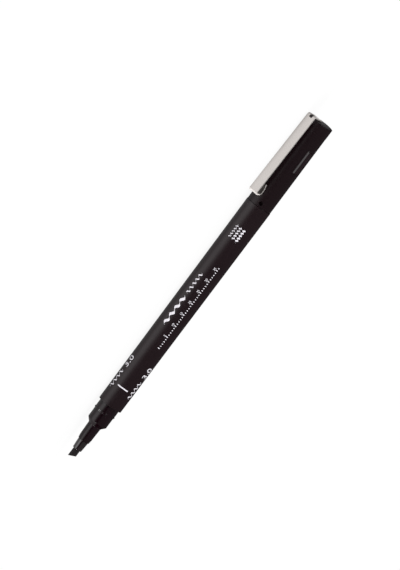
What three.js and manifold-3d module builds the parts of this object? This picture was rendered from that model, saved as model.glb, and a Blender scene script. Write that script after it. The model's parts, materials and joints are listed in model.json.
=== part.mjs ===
// A chisel-nib calligraphy pen lying on a flat surface, with its cap pushed onto its tail.
//
// Millimetres. Inside the pen's own group the axis is +Y, from the nib to the cap's crown. Station 0
// is the barrel's front face, where the cap's mouth stops when it covers the nib. The clip stands
// out along +X and its metal is as wide as its Z size. The outer group lays the pen down: +X runs
// towards the crown, +Z is up, and the pen has rolled until its clip touches the surface.

import * as THREE from "three";
import { mergeVertices } from "three/addons/utils/BufferGeometryUtils.js";
import Module from "manifold-3d";

const wasm = await Module();
wasm.setup();

// Fits between neighbours
const PRESS_FIT = 0.05; // radial room between pieces pushed together for good
const CAP_FIT = 0.1; // radial room between the cap's bore and the ridges it slips over
const FACE_GAP = 0.1; // room between faces that meet end to end
const SHEET_GAP = 0.3; // room around the clip's metal, which the clip needs to flex

// Facets round a turned piece
const OUTER_FACETS = 44;
const INNER_FACETS = 28;

// Barrel
const BARREL_LENGTH = 89.9;
const BARREL_FRONT_RADIUS = 4.75;
const BARREL_REAR_RADIUS = 5.08;
const BARREL_BORE_RADIUS = 3.85;
const RIM_CHAMFER = 0.15;

// Front section: neck that the cap grips, cone, tube and nose
const NECK_LENGTH = 7.9;
const NECK_RADIUS = 4.04;
const NECK_DRAFT = 0.09; // how much slimmer the neck is ahead of its ridge
const RIDGE_HEIGHT = 0.06;
const RIDGE_WIDTH = 0.55;
const RIDGE_SETBACK = 3.3; // from the barrel's end face to the middle of the ridge
const CONE_LENGTH = 1.4;
const TUBE_LENGTH = 5.35;
const TUBE_REAR_RADIUS = 2.58;
const TUBE_FRONT_RADIUS = 2.44;
const NOSE_LENGTH = 1.45;
const NOSE_RADIUS = 2.25;
const SECTION_SPIGOT_LENGTH = 10;

// Nib collar
const COLLAR_LENGTH = 3.95;
const COLLAR_BASE_RADIUS = 2.03;
const COLLAR_TIP_RADIUS = 1.78;
const COLLAR_SPIGOT_RADIUS = 1.8;
const COLLAR_SPIGOT_LENGTH = 4.5;

// Nib: a flat rod with round sides, cut to a slanting chisel edge
const NIB_LENGTH = 3.65; // what shows ahead of the collar
const NIB_WIDTH = 2.8;
const NIB_THICKNESS = 1.5;
const NIB_FIT = 0.1;
const NIB_EDGE_SLANT = 21; // degrees off square, its far corner on the clip's side
const NIB_WEDGE_LENGTH = 2.4; // the long bevel on each broad face
const NIB_WEDGE_THICKNESS = 0.8; // where the long bevels reach the end
const NIB_CHISEL_LENGTH = 0.45; // the short bevel that thins the end to the writing edge
const NIB_EDGE_THICKNESS = 0.3;
const NIB_TURN = -28; // degrees from the clip's own plane to the nib's broad plane
const NIB_PIERCE = 7; // how far its rear end goes into the ink reservoir
const NIB_POINT_LENGTH = 3;

// Ink reservoir and its film
const RESERVOIR_RADIUS = 3.4;
const FILM_THICKNESS = 0.15;
const FILM_OVERHANG = 0.4;
const RESERVOIR_GAP = 0.6; // between the reservoir and the pieces that hold its ends

// Tail plug
const PLUG_SPIGOT_LENGTH = 8;
const PLUG_BORE_RADIUS = 2.9;
const PLUG_FLOOR = 1.2;
const TAIL_END_GAP = 0.4; // between the tail's end and the cap's liner

// Cap
const CAP_STAND_OFF = 0.2; // between the barrel's rear face and the cap's mouth
const CAP_LENGTH = 36.8;
const CAP_WALL = 0.76;
const CAP_STEP = 0.15; // the rear bore is this much wider, and the liner stops on the step
const CAP_LEAD = 0.25; // chamfer inside the mouth
const CAP_FLARE = 0.06;
const CAP_FLARE_LENGTH = 3.4;
const SOCKET_ROOM = 0.5; // between the section's cone and the liner when the cap covers the nib
const RIB_LENGTH = 10.1;
const RIB_WIDTH = 2.3;
const RIB_HEIGHT = 0.8;
const RIB_SETBACK = 16.8; // from the cap's mouth to the rib
const RIB_ANGLE = 81; // degrees round from the clip
const DIMPLE_RADIUS = 0.7; // the mark that the mould's gate leaves
const DIMPLE_DEPTH = 0.3;
const DIMPLE_SETBACK = 1.35; // from the cap's mouth to the dimple's middle
const DIMPLE_ANGLE = 41; // degrees round from the clip

// Liner: the inner cap that seals on the section's tube
const LINER_SEAL = 0.08;
const LINER_WALL = 0.75;
const LINER_FLOOR = 1.2;
const LINER_RING_LENGTH = 1.2;
const NIB_TIP_ROOM = 1.6; // beyond the nib's edge when the cap covers it

// Crown: closes the cap and holds the clip
const CROWN_THICKNESS = 0.55;
const CROWN_EDGE_RADIUS = 0.35;
const CROWN_FLOOR = 5;
const CROWN_SPIGOT_WALL = 1;
const BOSS_WIDTH = 3.7;
const BOSS_LENGTH = 2.1;

// Clip: one strip of sheet steel
const CLIP_THICKNESS = 0.4;
const CLIP_WIDTH = 4.15;
const CLIP_TOP_GAP = 1.42; // between the strip and the cap beside the crown
const CLIP_END_GAP = 2.72; // between the strip and the cap at the free end
const CLIP_SETBACK = 3.25; // from the cap's mouth to the corner of the free end
const CLIP_TOP_BEND = 0.6;
const CLIP_LEG_BEND = 0.45;
const CLIP_LEG_OFFSET = 2; // from the pen's axis to the leg
const CLIP_LEG_WIDTH = 3;
const CLIP_LEG_LENGTH = 3.4;
const LIP_GAP = 0.2; // between the lip and the cap
const LIP_FOLD_BEND = 0.5;
const LIP_TOE_BEND = 1.1;
const LIP_HEEL_BEND = 2;
const LIP_TOE_RISE = 0.75; // along the pen, from the free end's corner to the lip's toe
const LIP_HEEL_RISE = 3;
const LIP_END_RISE = 4.9;
const LIP_END_LIFT = 0.82; // how far the lip's own end turns away from the cap
const WINDOW_WIDTH = 1.4;
const WINDOW_DROP = 1.25; // down the strip, from the clip's top
const WINDOW_DEPTH = 1.9; // inwards over the end, from the strip's outer face

const CUTTER = 30; // a box or prism longer than anything it trims

// Stations along the axis, and sizes that follow from the ones above
const neckFront = -NECK_LENGTH;
const coneFront = neckFront - CONE_LENGTH;
const tubeFront = coneFront - TUBE_LENGTH;
const noseFront = tubeFront - NOSE_LENGTH;
const collarFront = noseFront - COLLAR_LENGTH;
const nibFront = collarFront - NIB_LENGTH;
const nibRear = SECTION_SPIGOT_LENGTH + RESERVOIR_GAP + NIB_PIERCE;
const nibBoreRadius = NIB_WIDTH / 2 + 2 * NIB_FIT;
const nibTurn = THREE.MathUtils.degToRad(NIB_TURN);
const reservoirFront = SECTION_SPIGOT_LENGTH + RESERVOIR_GAP;
const reservoirRear = BARREL_LENGTH - PLUG_SPIGOT_LENGTH - RESERVOIR_GAP;

const socketDepth = NECK_LENGTH + CONE_LENGTH + SOCKET_ROOM;
const capMouth = BARREL_LENGTH + CAP_STAND_OFF;
const capStep = capMouth + socketDepth;
const capTop = capMouth + CAP_LENGTH;
const capBoreRadius = NECK_RADIUS + RIDGE_HEIGHT + CAP_FIT;
const capRearBoreRadius = capBoreRadius + CAP_STEP;
const capRadius = capBoreRadius + CAP_WALL;
const tailEnd = capStep - TAIL_END_GAP;

const linerFront = capStep + FACE_GAP;
const linerBoreRadius = TUBE_REAR_RADIUS + LINER_SEAL;
const linerRear = linerFront + (coneFront - nibFront - SOCKET_ROOM) + NIB_TIP_ROOM + LINER_FLOOR;

const crownUnderside = capTop + FACE_GAP;
const crownTop = crownUnderside + CROWN_THICKNESS;
const crownRadius = capRadius + CAP_FLARE;
const crownSpigotRadius = capRearBoreRadius - PRESS_FIT;

const tabMiddle = crownTop + SHEET_GAP + CLIP_THICKNESS / 2;
const clipTop = tabMiddle + CLIP_THICKNESS / 2;
const stripTopOffset = capRadius + CLIP_TOP_GAP + CLIP_THICKNESS / 2;
const stripEndOffset = capRadius + CLIP_END_GAP + CLIP_THICKNESS / 2;
const clipEnd = capMouth + CLIP_SETBACK;
const lipOffset = capRadius + LIP_GAP + CLIP_THICKNESS / 2;
const bossFace = capRadius + CLIP_TOP_GAP - SHEET_GAP;

// Finishes
const finish = (color, roughness, metalness = 0) =>
  new THREE.MeshStandardMaterial({ color, roughness, metalness });
const matteBlack = finish(0x1d1719, 0.55);
const satinBlack = finish(0x17131a, 0.35);
const fibreBlack = finish(0x141214, 0.95);
const linerGrey = finish(0xd8d6d0, 0.5);
const filmClear = finish(0xe6e8ea, 0.2);
const steel = finish(0xd3cfcb, 0.38, 1);

// A mesh revolved round the pen's axis from [radius, station] pairs.
function turned(name, material, profile, facets = OUTER_FACETS) {
  const points = profile.map(([radius, station]) => new THREE.Vector2(radius, station));
  const mesh = new THREE.Mesh(new THREE.LatheGeometry(points, facets), material);
  mesh.name = name;
  return mesh;
}

// The closed solid of a geometry, for joining and cutting.
function solidOf(geometry) {
  const bare = geometry.index ? geometry.toNonIndexed() : geometry.clone();
  bare.deleteAttribute("normal");
  bare.deleteAttribute("uv");
  const merged = mergeVertices(bare);
  return new wasm.Manifold(
    new wasm.Mesh({
      numProp: 3,
      vertProperties: merged.attributes.position.array,
      triVerts: new Uint32Array(merged.index.array),
    }),
  );
}

// A named mesh from a joined or cut solid.
function meshOf(name, material, solid) {
  const { vertProperties, triVerts, numProp } = solid.getMesh();
  const geometry = new THREE.BufferGeometry();
  geometry.setAttribute("position", new THREE.BufferAttribute(vertProperties, numProp));
  geometry.setIndex(new THREE.BufferAttribute(triVerts, 1));
  geometry.computeVertexNormals();
  const mesh = new THREE.Mesh(geometry, material);
  mesh.name = name;
  return mesh;
}

// A box from its lowest to its highest corner.
function block(low, high) {
  const size = high.map((value, axis) => value - low[axis]);
  const middle = high.map((value, axis) => (value + low[axis]) / 2);
  return new THREE.BoxGeometry(...size).translate(...middle);
}

// A slot shape with round ends, centred, longer along its first size.
function stadium(length, width) {
  const shape = new THREE.Shape();
  const straight = (length - width) / 2;
  shape.absarc(straight, 0, width / 2, -Math.PI / 2, Math.PI / 2);
  shape.absarc(-straight, 0, width / 2, Math.PI / 2, (3 * Math.PI) / 2);
  return shape;
}

// The ridge that the cap snaps over, going from one neck radius to the next at the ridge's middle.
function ridge(middle, radiusBefore, radiusAfter) {
  const crest = NECK_RADIUS + RIDGE_HEIGHT;
  return [
    [radiusBefore, middle - RIDGE_WIDTH / 2],
    [crest, middle - RIDGE_WIDTH / 4],
    [crest, middle + RIDGE_WIDTH / 4],
    [radiusAfter, middle + RIDGE_WIDTH / 2],
  ];
}

function barrel() {
  return turned("barrel", matteBlack, [
    [BARREL_BORE_RADIUS, 0],
    [BARREL_FRONT_RADIUS - RIM_CHAMFER, 0],
    [BARREL_FRONT_RADIUS, RIM_CHAMFER],
    [BARREL_REAR_RADIUS, BARREL_LENGTH - RIM_CHAMFER],
    [BARREL_REAR_RADIUS - RIM_CHAMFER, BARREL_LENGTH],
    [BARREL_BORE_RADIUS, BARREL_LENGTH],
    [BARREL_BORE_RADIUS, 0],
  ]);
}

function frontSection() {
  const collarBore = COLLAR_SPIGOT_RADIUS + PRESS_FIT;
  const collarBoreEnd = noseFront + COLLAR_SPIGOT_LENGTH + FACE_GAP;
  const spigot = BARREL_BORE_RADIUS - PRESS_FIT;
  const slimNeck = NECK_RADIUS - NECK_DRAFT;
  return turned("front_section", satinBlack, [
    [collarBore, noseFront],
    [NOSE_RADIUS, noseFront],
    [TUBE_FRONT_RADIUS, tubeFront],
    [TUBE_REAR_RADIUS, coneFront],
    [slimNeck - RIM_CHAMFER, neckFront],
    [slimNeck, neckFront + RIM_CHAMFER],
    ...ridge(-RIDGE_SETBACK, slimNeck, NECK_RADIUS),
    [NECK_RADIUS, -FACE_GAP],
    [spigot, -FACE_GAP],
    [spigot, SECTION_SPIGOT_LENGTH],
    [nibBoreRadius, SECTION_SPIGOT_LENGTH],
    [nibBoreRadius, collarBoreEnd],
    [collarBore, collarBoreEnd],
    [collarBore, noseFront],
  ]);
}

// A prism of the nib's section, grown by a clearance, along the axis from one station to another.
function nibPrism(from, to, clearance) {
  const shape = stadium(NIB_WIDTH + 2 * clearance, NIB_THICKNESS + 2 * clearance);
  const prism = new THREE.ExtrudeGeometry(shape, {
    depth: to - from,
    bevelEnabled: false,
    curveSegments: 8,
  });
  return prism.rotateX(-Math.PI / 2).translate(0, from, 0);
}

function nibCollar() {
  const seat = noseFront - FACE_GAP;
  const body = turned("collar_blank", satinBlack, [
    [0, collarFront],
    [COLLAR_TIP_RADIUS - RIM_CHAMFER / 2, collarFront],
    [COLLAR_TIP_RADIUS, collarFront + RIM_CHAMFER],
    [COLLAR_BASE_RADIUS, seat],
    [COLLAR_SPIGOT_RADIUS, seat],
    [COLLAR_SPIGOT_RADIUS, noseFront + COLLAR_SPIGOT_LENGTH],
    [0, noseFront + COLLAR_SPIGOT_LENGTH],
  ], INNER_FACETS);
  const slot = nibPrism(collarFront - CUTTER, noseFront + CUTTER, NIB_FIT).rotateY(nibTurn);
  return meshOf("nib_collar", satinBlack, solidOf(body.geometry).subtract(solidOf(slot)));
}

// A block that trims one broad face of a rod whose end lies at y = 0 and points to -y. It leaves the
// end's thickness there, and the foot's thickness at the bevel's length from it.
function bevelCutter(side, length, endThickness, footThickness) {
  const fall = Math.atan2((footThickness - endThickness) / 2, length);
  return new THREE.BoxGeometry(CUTTER, CUTTER, CUTTER)
    .translate(0, 0, (side * CUTTER) / 2)
    .rotateX(side * fall)
    .translate(0, 0, (side * endThickness) / 2);
}

// The nib is cut flat in its own plane first. Its front cutters all lie along the slanting edge.
function nib() {
  const slant = THREE.MathUtils.degToRad(NIB_EDGE_SLANT);
  const atEdge = (cutter) => cutter.rotateZ(-slant).translate(NIB_WIDTH / 2, nibFront, 0);
  const atRear = (cutter) => cutter.rotateZ(Math.PI).translate(0, nibRear, 0);
  const wedgeGain = (NIB_THICKNESS - NIB_WEDGE_THICKNESS) * (NIB_CHISEL_LENGTH / NIB_WEDGE_LENGTH);
  const chiselFoot = NIB_WEDGE_THICKNESS + wedgeGain;
  const square = new THREE.BoxGeometry(CUTTER, CUTTER, CUTTER).translate(0, -CUTTER / 2, 0);
  const cutters = [atEdge(square)];
  for (const side of [-1, 1]) {
    const wedge = bevelCutter(side, NIB_WEDGE_LENGTH, NIB_WEDGE_THICKNESS, NIB_THICKNESS);
    const chisel = bevelCutter(side, NIB_CHISEL_LENGTH, NIB_EDGE_THICKNESS, chiselFoot);
    const point = bevelCutter(side, NIB_POINT_LENGTH, NIB_EDGE_THICKNESS, NIB_THICKNESS);
    cutters.push(atEdge(wedge), atEdge(chisel), atRear(point));
  }
  let solid = solidOf(nibPrism(nibFront, nibRear, 0));
  for (const cutter of cutters) solid = solid.subtract(solidOf(cutter));
  const mesh = meshOf("nib", fibreBlack, solid);
  mesh.geometry.rotateY(nibTurn);
  return mesh;
}

function inkReservoir() {
  const pocketEnd = nibRear + RESERVOIR_GAP;
  return turned("ink_reservoir", fibreBlack, [
    [0, pocketEnd],
    [nibBoreRadius, pocketEnd],
    [nibBoreRadius, reservoirFront],
    [RESERVOIR_RADIUS, reservoirFront],
    [RESERVOIR_RADIUS, reservoirRear],
    [0, reservoirRear],
  ], INNER_FACETS);
}

function reservoirFilm() {
  const inside = RESERVOIR_RADIUS + PRESS_FIT;
  const outside = inside + FILM_THICKNESS;
  const front = reservoirFront - FILM_OVERHANG;
  const rear = reservoirRear + FILM_OVERHANG;
  return turned("reservoir_film", filmClear, [
    [inside, front],
    [outside, front],
    [outside, rear],
    [inside, rear],
    [inside, front],
  ], INNER_FACETS);
}

function tailPlug() {
  const spigot = BARREL_BORE_RADIUS - PRESS_FIT;
  const spigotFront = BARREL_LENGTH - PLUG_SPIGOT_LENGTH;
  const seat = BARREL_LENGTH + FACE_GAP;
  const pocketEnd = tailEnd - PLUG_FLOOR;
  return turned("tail_plug", matteBlack, [
    [0, pocketEnd],
    [PLUG_BORE_RADIUS, pocketEnd],
    [PLUG_BORE_RADIUS, spigotFront],
    [spigot, spigotFront],
    [spigot, seat],
    [NECK_RADIUS, seat],
    ...ridge(BARREL_LENGTH + RIDGE_SETBACK, NECK_RADIUS, NECK_RADIUS - NECK_DRAFT),
    [NECK_RADIUS - NECK_DRAFT, tailEnd - RIM_CHAMFER],
    [NECK_RADIUS - NECK_DRAFT - RIM_CHAMFER, tailEnd],
    [0, tailEnd],
  ]);
}

// The cutter for the dimple: a short cone with its wide end out, turned to its place.
function dimpleCutter() {
  return new THREE.CylinderGeometry(DIMPLE_RADIUS, DIMPLE_RADIUS / 2, DIMPLE_DEPTH * 2, 12)
    .rotateZ(-Math.PI / 2)
    .translate(capRadius, capMouth + DIMPLE_SETBACK, 0)
    .rotateY(THREE.MathUtils.degToRad(DIMPLE_ANGLE));
}

// The raised rib on the cap, turned to its place round the axis.
function rib() {
  return new THREE.ExtrudeGeometry(stadium(RIB_LENGTH, RIB_WIDTH), {
    depth: CAP_WALL / 2 + RIB_HEIGHT,
    bevelEnabled: false,
    curveSegments: 6,
  })
    .rotateZ(Math.PI / 2)
    .rotateY(Math.PI / 2)
    .translate(capRadius - CAP_WALL / 2, capMouth + RIB_SETBACK + RIB_LENGTH / 2, 0)
    .rotateY(THREE.MathUtils.degToRad(RIB_ANGLE));
}

function capShell() {
  const flareFoot = capTop - CAP_FLARE_LENGTH;
  const tube = turned("shell_blank", matteBlack, [
    [capBoreRadius + CAP_LEAD, capMouth],
    [capRadius - RIM_CHAMFER, capMouth],
    [capRadius, capMouth + RIM_CHAMFER],
    [capRadius, flareFoot - CAP_FLARE],
    [capRadius + CAP_FLARE, flareFoot],
    [capRadius + CAP_FLARE, capTop],
    [capRearBoreRadius, capTop],
    [capRearBoreRadius, capStep],
    [capBoreRadius, capStep],
    [capBoreRadius, capMouth + CAP_LEAD],
    [capBoreRadius + CAP_LEAD, capMouth],
  ]);
  const solid = solidOf(tube.geometry).add(solidOf(rib())).subtract(solidOf(dimpleCutter()));
  return meshOf("cap_shell", matteBlack, solid);
}

function capLiner() {
  const ringRadius = capRearBoreRadius - PRESS_FIT;
  const bodyRadius = linerBoreRadius + LINER_WALL;
  const slope = ringRadius - bodyRadius;
  return turned("cap_liner", linerGrey, [
    [0, linerRear - LINER_FLOOR],
    [linerBoreRadius, linerRear - LINER_FLOOR],
    [linerBoreRadius, linerFront + CAP_LEAD],
    [linerBoreRadius + CAP_LEAD, linerFront],
    [ringRadius, linerFront],
    [ringRadius, linerFront + LINER_RING_LENGTH],
    [bodyRadius, linerFront + LINER_RING_LENGTH + slope],
    [bodyRadius, linerRear - LINER_RING_LENGTH - slope],
    [ringRadius, linerRear - LINER_RING_LENGTH],
    [ringRadius, linerRear],
    [0, linerRear],
  ], INNER_FACETS);
}

function capCrown() {
  const spigotBore = crownSpigotRadius - CROWN_SPIGOT_WALL;
  const spigotFront = linerRear + FACE_GAP;
  const roundSteps = 4;
  const edge = [];
  for (let step = 0; step <= roundSteps; step++) {
    const angle = (step / roundSteps) * (Math.PI / 2);
    edge.push([
      crownRadius - CROWN_EDGE_RADIUS * (1 - Math.cos(angle)),
      crownTop - CROWN_EDGE_RADIUS * (1 - Math.sin(angle)),
    ]);
  }
  const plug = turned("crown_blank", satinBlack, [
    [0, crownTop - CROWN_FLOOR],
    [spigotBore, crownTop - CROWN_FLOOR],
    [spigotBore, spigotFront],
    [crownSpigotRadius, spigotFront],
    [crownSpigotRadius, crownUnderside],
    [crownRadius, crownUnderside],
    ...edge,
    [0, crownTop],
  ]);
  const boss = block(
    [crownSpigotRadius, crownTop - BOSS_LENGTH, -BOSS_WIDTH / 2],
    [bossFace, crownTop, BOSS_WIDTH / 2],
  );
  const shellRoom = new THREE.CylinderGeometry(
    crownRadius + FACE_GAP, crownRadius + FACE_GAP, CUTTER, OUTER_FACETS,
  ).translate(0, crownUnderside - CUTTER / 2, 0);
  const slotHalf = CLIP_THICKNESS / 2 + SHEET_GAP;
  const legSlot = block(
    [CLIP_LEG_OFFSET - slotHalf, crownTop - CLIP_LEG_LENGTH - SHEET_GAP, -CLIP_LEG_WIDTH / 2 - SHEET_GAP],
    [CLIP_LEG_OFFSET + slotHalf, crownTop + CUTTER, CLIP_LEG_WIDTH / 2 + SHEET_GAP],
  );
  const seat = solidOf(boss).subtract(solidOf(shellRoom));
  const solid = solidOf(plug.geometry).add(seat).subtract(solidOf(legSlot));
  return meshOf("cap_crown", satinBlack, solid);
}

// Points along straight runs joined by arcs. Each corner is [x, y, bend radius].
function bentLine(corners, arcSteps) {
  const points = [new THREE.Vector2(...corners[0])];
  for (let i = 1; i < corners.length - 1; i++) {
    const [x, y, radius] = corners[i];
    const corner = new THREE.Vector2(x, y);
    const back = new THREE.Vector2(...corners[i - 1]).sub(corner).normalize();
    const ahead = new THREE.Vector2(...corners[i + 1]).sub(corner).normalize();
    const half = Math.acos(back.dot(ahead)) / 2;
    const middle = back.clone().add(ahead).normalize().multiplyScalar(radius / Math.sin(half));
    const centre = corner.clone().add(middle);
    const start = corner.clone().addScaledVector(back, radius / Math.tan(half)).sub(centre);
    const end = corner.clone().addScaledVector(ahead, radius / Math.tan(half)).sub(centre);
    const sweep = Math.atan2(start.cross(end), start.dot(end));
    for (let step = 0; step <= arcSteps; step++) {
      points.push(start.clone().rotateAround(new THREE.Vector2(), (sweep * step) / arcSteps).add(centre));
    }
  }
  points.push(new THREE.Vector2(...corners[corners.length - 1]));
  return points;
}

// The outline of a strip of sheet that follows a line, half its thickness to each side.
function stripOutline(line, thickness) {
  const offset = (side) =>
    line.map((point, i) => {
      const before = line[Math.max(i - 1, 0)];
      const after = line[Math.min(i + 1, line.length - 1)];
      const along = after.clone().sub(before).normalize();
      return new THREE.Vector2(-along.y, along.x).multiplyScalar((side * thickness) / 2).add(point);
    });
  return new THREE.Shape([...offset(1), ...offset(-1).reverse()]);
}

function clip() {
  const line = bentLine([
    [CLIP_LEG_OFFSET, crownTop - CLIP_LEG_LENGTH],
    [CLIP_LEG_OFFSET, tabMiddle, CLIP_LEG_BEND],
    [stripTopOffset, tabMiddle, CLIP_TOP_BEND],
    [stripEndOffset, clipEnd, LIP_FOLD_BEND],
    [lipOffset, clipEnd + LIP_TOE_RISE, LIP_TOE_BEND],
    [lipOffset, clipEnd + LIP_HEEL_RISE, LIP_HEEL_BEND],
    [lipOffset + LIP_END_LIFT, clipEnd + LIP_END_RISE],
  ], 6);
  const strip = new THREE.ExtrudeGeometry(stripOutline(line, CLIP_THICKNESS), {
    depth: CLIP_WIDTH,
    bevelEnabled: false,
  }).translate(0, 0, -CLIP_WIDTH / 2);
  let solid = solidOf(strip);
  const shoulder = CLIP_LEG_OFFSET + CLIP_THICKNESS / 2 + SHEET_GAP;
  for (const side of [-1, 1]) {
    const inner = (side * CLIP_LEG_WIDTH) / 2;
    const outer = side * CUTTER;
    solid = solid.subtract(solidOf(block(
      [-CUTTER, crownTop - CUTTER, Math.min(inner, outer)],
      [shoulder, clipTop + CUTTER, Math.max(inner, outer)],
    )));
  }
  const stripFace = stripTopOffset + CLIP_THICKNESS / 2;
  const window = block(
    [stripFace - WINDOW_DEPTH, clipTop - WINDOW_DROP, -WINDOW_WIDTH / 2],
    [stripFace + CUTTER, clipTop + CUTTER, WINDOW_WIDTH / 2],
  );
  return meshOf("clip", steel, solid.subtract(solidOf(window)));
}

// How far below level the clip points when its edge and the barrel both touch the surface.
function clipDrop() {
  const reach = stripEndOffset + CLIP_THICKNESS / 2;
  const corner = Math.hypot(reach, CLIP_WIDTH / 2);
  return Math.asin(BARREL_REAR_RADIUS / corner) - Math.atan2(CLIP_WIDTH / 2, reach);
}

const pen = new THREE.Group();
pen.add(barrel(), frontSection(), nibCollar(), nib(), inkReservoir(), reservoirFilm(), tailPlug());
pen.add(capShell(), capLiner(), capCrown(), clip());
pen.rotation.y = Math.PI - clipDrop();

const lying = new THREE.Group();
lying.rotation.z = -Math.PI / 2;
lying.add(pen);

// The origin lies on the surface, under the middle of the pen's own box.
const calligraphyPen = new THREE.Group();
calligraphyPen.add(lying);
const bounds = new THREE.Box3().setFromObject(lying, true);
const middle = bounds.getCenter(new THREE.Vector3());
lying.position.set(-middle.x, -middle.y, -bounds.min.z);

export default calligraphyPen;
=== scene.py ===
# A chisel-nib calligraphy pen that lies on a pale floor, its cap pushed onto its tail.
#
# All sizes are metres. A station is a distance along the pen from the barrel's front face, towards
# the cap's crown. An angle goes round the pen from the clip, towards the side that lies uppermost.

import json
import math

import bmesh
import bpy
import numpy as np
from mathutils import Matrix, Vector


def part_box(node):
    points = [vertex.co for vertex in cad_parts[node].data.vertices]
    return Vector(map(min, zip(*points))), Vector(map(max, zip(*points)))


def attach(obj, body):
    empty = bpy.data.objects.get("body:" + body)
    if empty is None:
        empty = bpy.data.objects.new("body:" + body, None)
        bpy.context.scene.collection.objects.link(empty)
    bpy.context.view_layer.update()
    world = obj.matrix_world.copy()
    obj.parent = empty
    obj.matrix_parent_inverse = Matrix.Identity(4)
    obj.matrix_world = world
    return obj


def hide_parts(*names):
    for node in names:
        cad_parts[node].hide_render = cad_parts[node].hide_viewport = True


bl_info = {
    "name": "Calligraphy Pen",
    "version": (1, 0, 0),
    "blender": (4, 5, 0),
    "location": "3D View > Sidebar > Pen",
    "description": "Builds a chisel-nib calligraphy pen, the print on its barrel and a pale stage",
    "category": "Add Mesh",
}

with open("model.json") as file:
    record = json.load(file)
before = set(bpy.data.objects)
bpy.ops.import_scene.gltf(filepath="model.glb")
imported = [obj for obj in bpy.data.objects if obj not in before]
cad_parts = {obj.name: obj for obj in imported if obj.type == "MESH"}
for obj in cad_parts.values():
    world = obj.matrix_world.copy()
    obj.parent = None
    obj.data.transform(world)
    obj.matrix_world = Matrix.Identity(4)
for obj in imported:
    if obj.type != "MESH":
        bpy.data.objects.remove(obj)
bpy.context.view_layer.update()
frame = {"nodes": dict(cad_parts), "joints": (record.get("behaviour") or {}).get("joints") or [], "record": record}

MM = 0.001
TURNS = 2 * math.pi
RECORD = frame["record"]
JOINTS = {joint["name"]: joint for joint in frame["joints"]}
MOUNTS = {mount["name"]: mount for mount in RECORD["mounts"]}

# The pen's own directions and axis in the row frame
ALONG = np.array((1.0, 0.0, 0.0))
CLIP_AXIS = np.array(JOINTS["clip_flex"]["axis"], float)
CLIPWARD = np.cross(ALONG, CLIP_AXIS)
SIDEWARD = -CLIP_AXIS
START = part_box("barrel")[0].x
AXIS_POINT = np.array((START, *MOUNTS["crown_end"]["pos_m"][1:]))


def span(node):
    """Stations of the front and rear ends of a CAD node."""
    low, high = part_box(node)
    return low.x - START, high.x - START


BARREL_END = span("barrel")[1]
COLLAR_FRONT, COLLAR_REAR = span("nib_collar")
NIB_FRONT, NIB_REAR = span("nib")
NOSE_FRONT, SPIGOT_REAR = span("front_section")
PLUG_FRONT, TAIL_END = span("tail_plug")
CAP_MOUTH, CAP_TOP = span("cap_shell")
LINER_FRONT, LINER_REAR = span("cap_liner")
CROWN_TOP = MOUNTS["crown_end"]["pos_m"][0] - START

# Steps of a rounded edge, and how far past it a point holds the side flat, as a share of its easing
EASE_STEPS = 5
HOLD = 0.35
# Points closer than this are one, and edges that turn further than this stay sharp
MERGE = 2e-8
SHARP = math.radians(50)
# Width of the slices that let flat print bend round the barrel
SLICE = 0.2 * MM


def length(name, description, default):
    """A size in metres."""
    return bpy.props.FloatProperty(
        name=name, description=description, default=default, unit="LENGTH", precision=6
    )


def angle(name, description, degrees):
    """An angle, given in degrees and kept in radians."""
    return bpy.props.FloatProperty(
        name=name, description=description, default=math.radians(degrees), subtype="ANGLE"
    )


def colour(name, description, *default):
    """A linear colour."""
    return bpy.props.FloatVectorProperty(
        name=name, description=description, default=default, subtype="COLOR", min=0, max=1
    )


def amount(name, description, default):
    """A plain number."""
    return bpy.props.FloatProperty(name=name, description=description, default=default, precision=4)


def number(name, description, default):
    """A whole number."""
    return bpy.props.IntProperty(name=name, description=description, default=default)


class PenBarrelSizes(bpy.types.PropertyGroup):
    """Sizes of the barrel and of the plug in its tail"""

    front_radius: length("Front radius", "Barrel radius at its front face", 4.75e-3)
    rear_radius: length("Rear radius", "Barrel radius at its rear face", 5.08e-3)
    bore_radius: length("Bore radius", "Radius of the barrel's bore", 3.85e-3)
    rim_easing: length("Rim easing", "How far the rims are rounded back", 0.09e-3)
    plug_bore: length("Plug bore", "Radius of the hollow in the tail plug", 2.9e-3)
    plug_floor: length("Plug floor", "Thickness of the tail plug's closed end", 1.2e-3)


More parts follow.
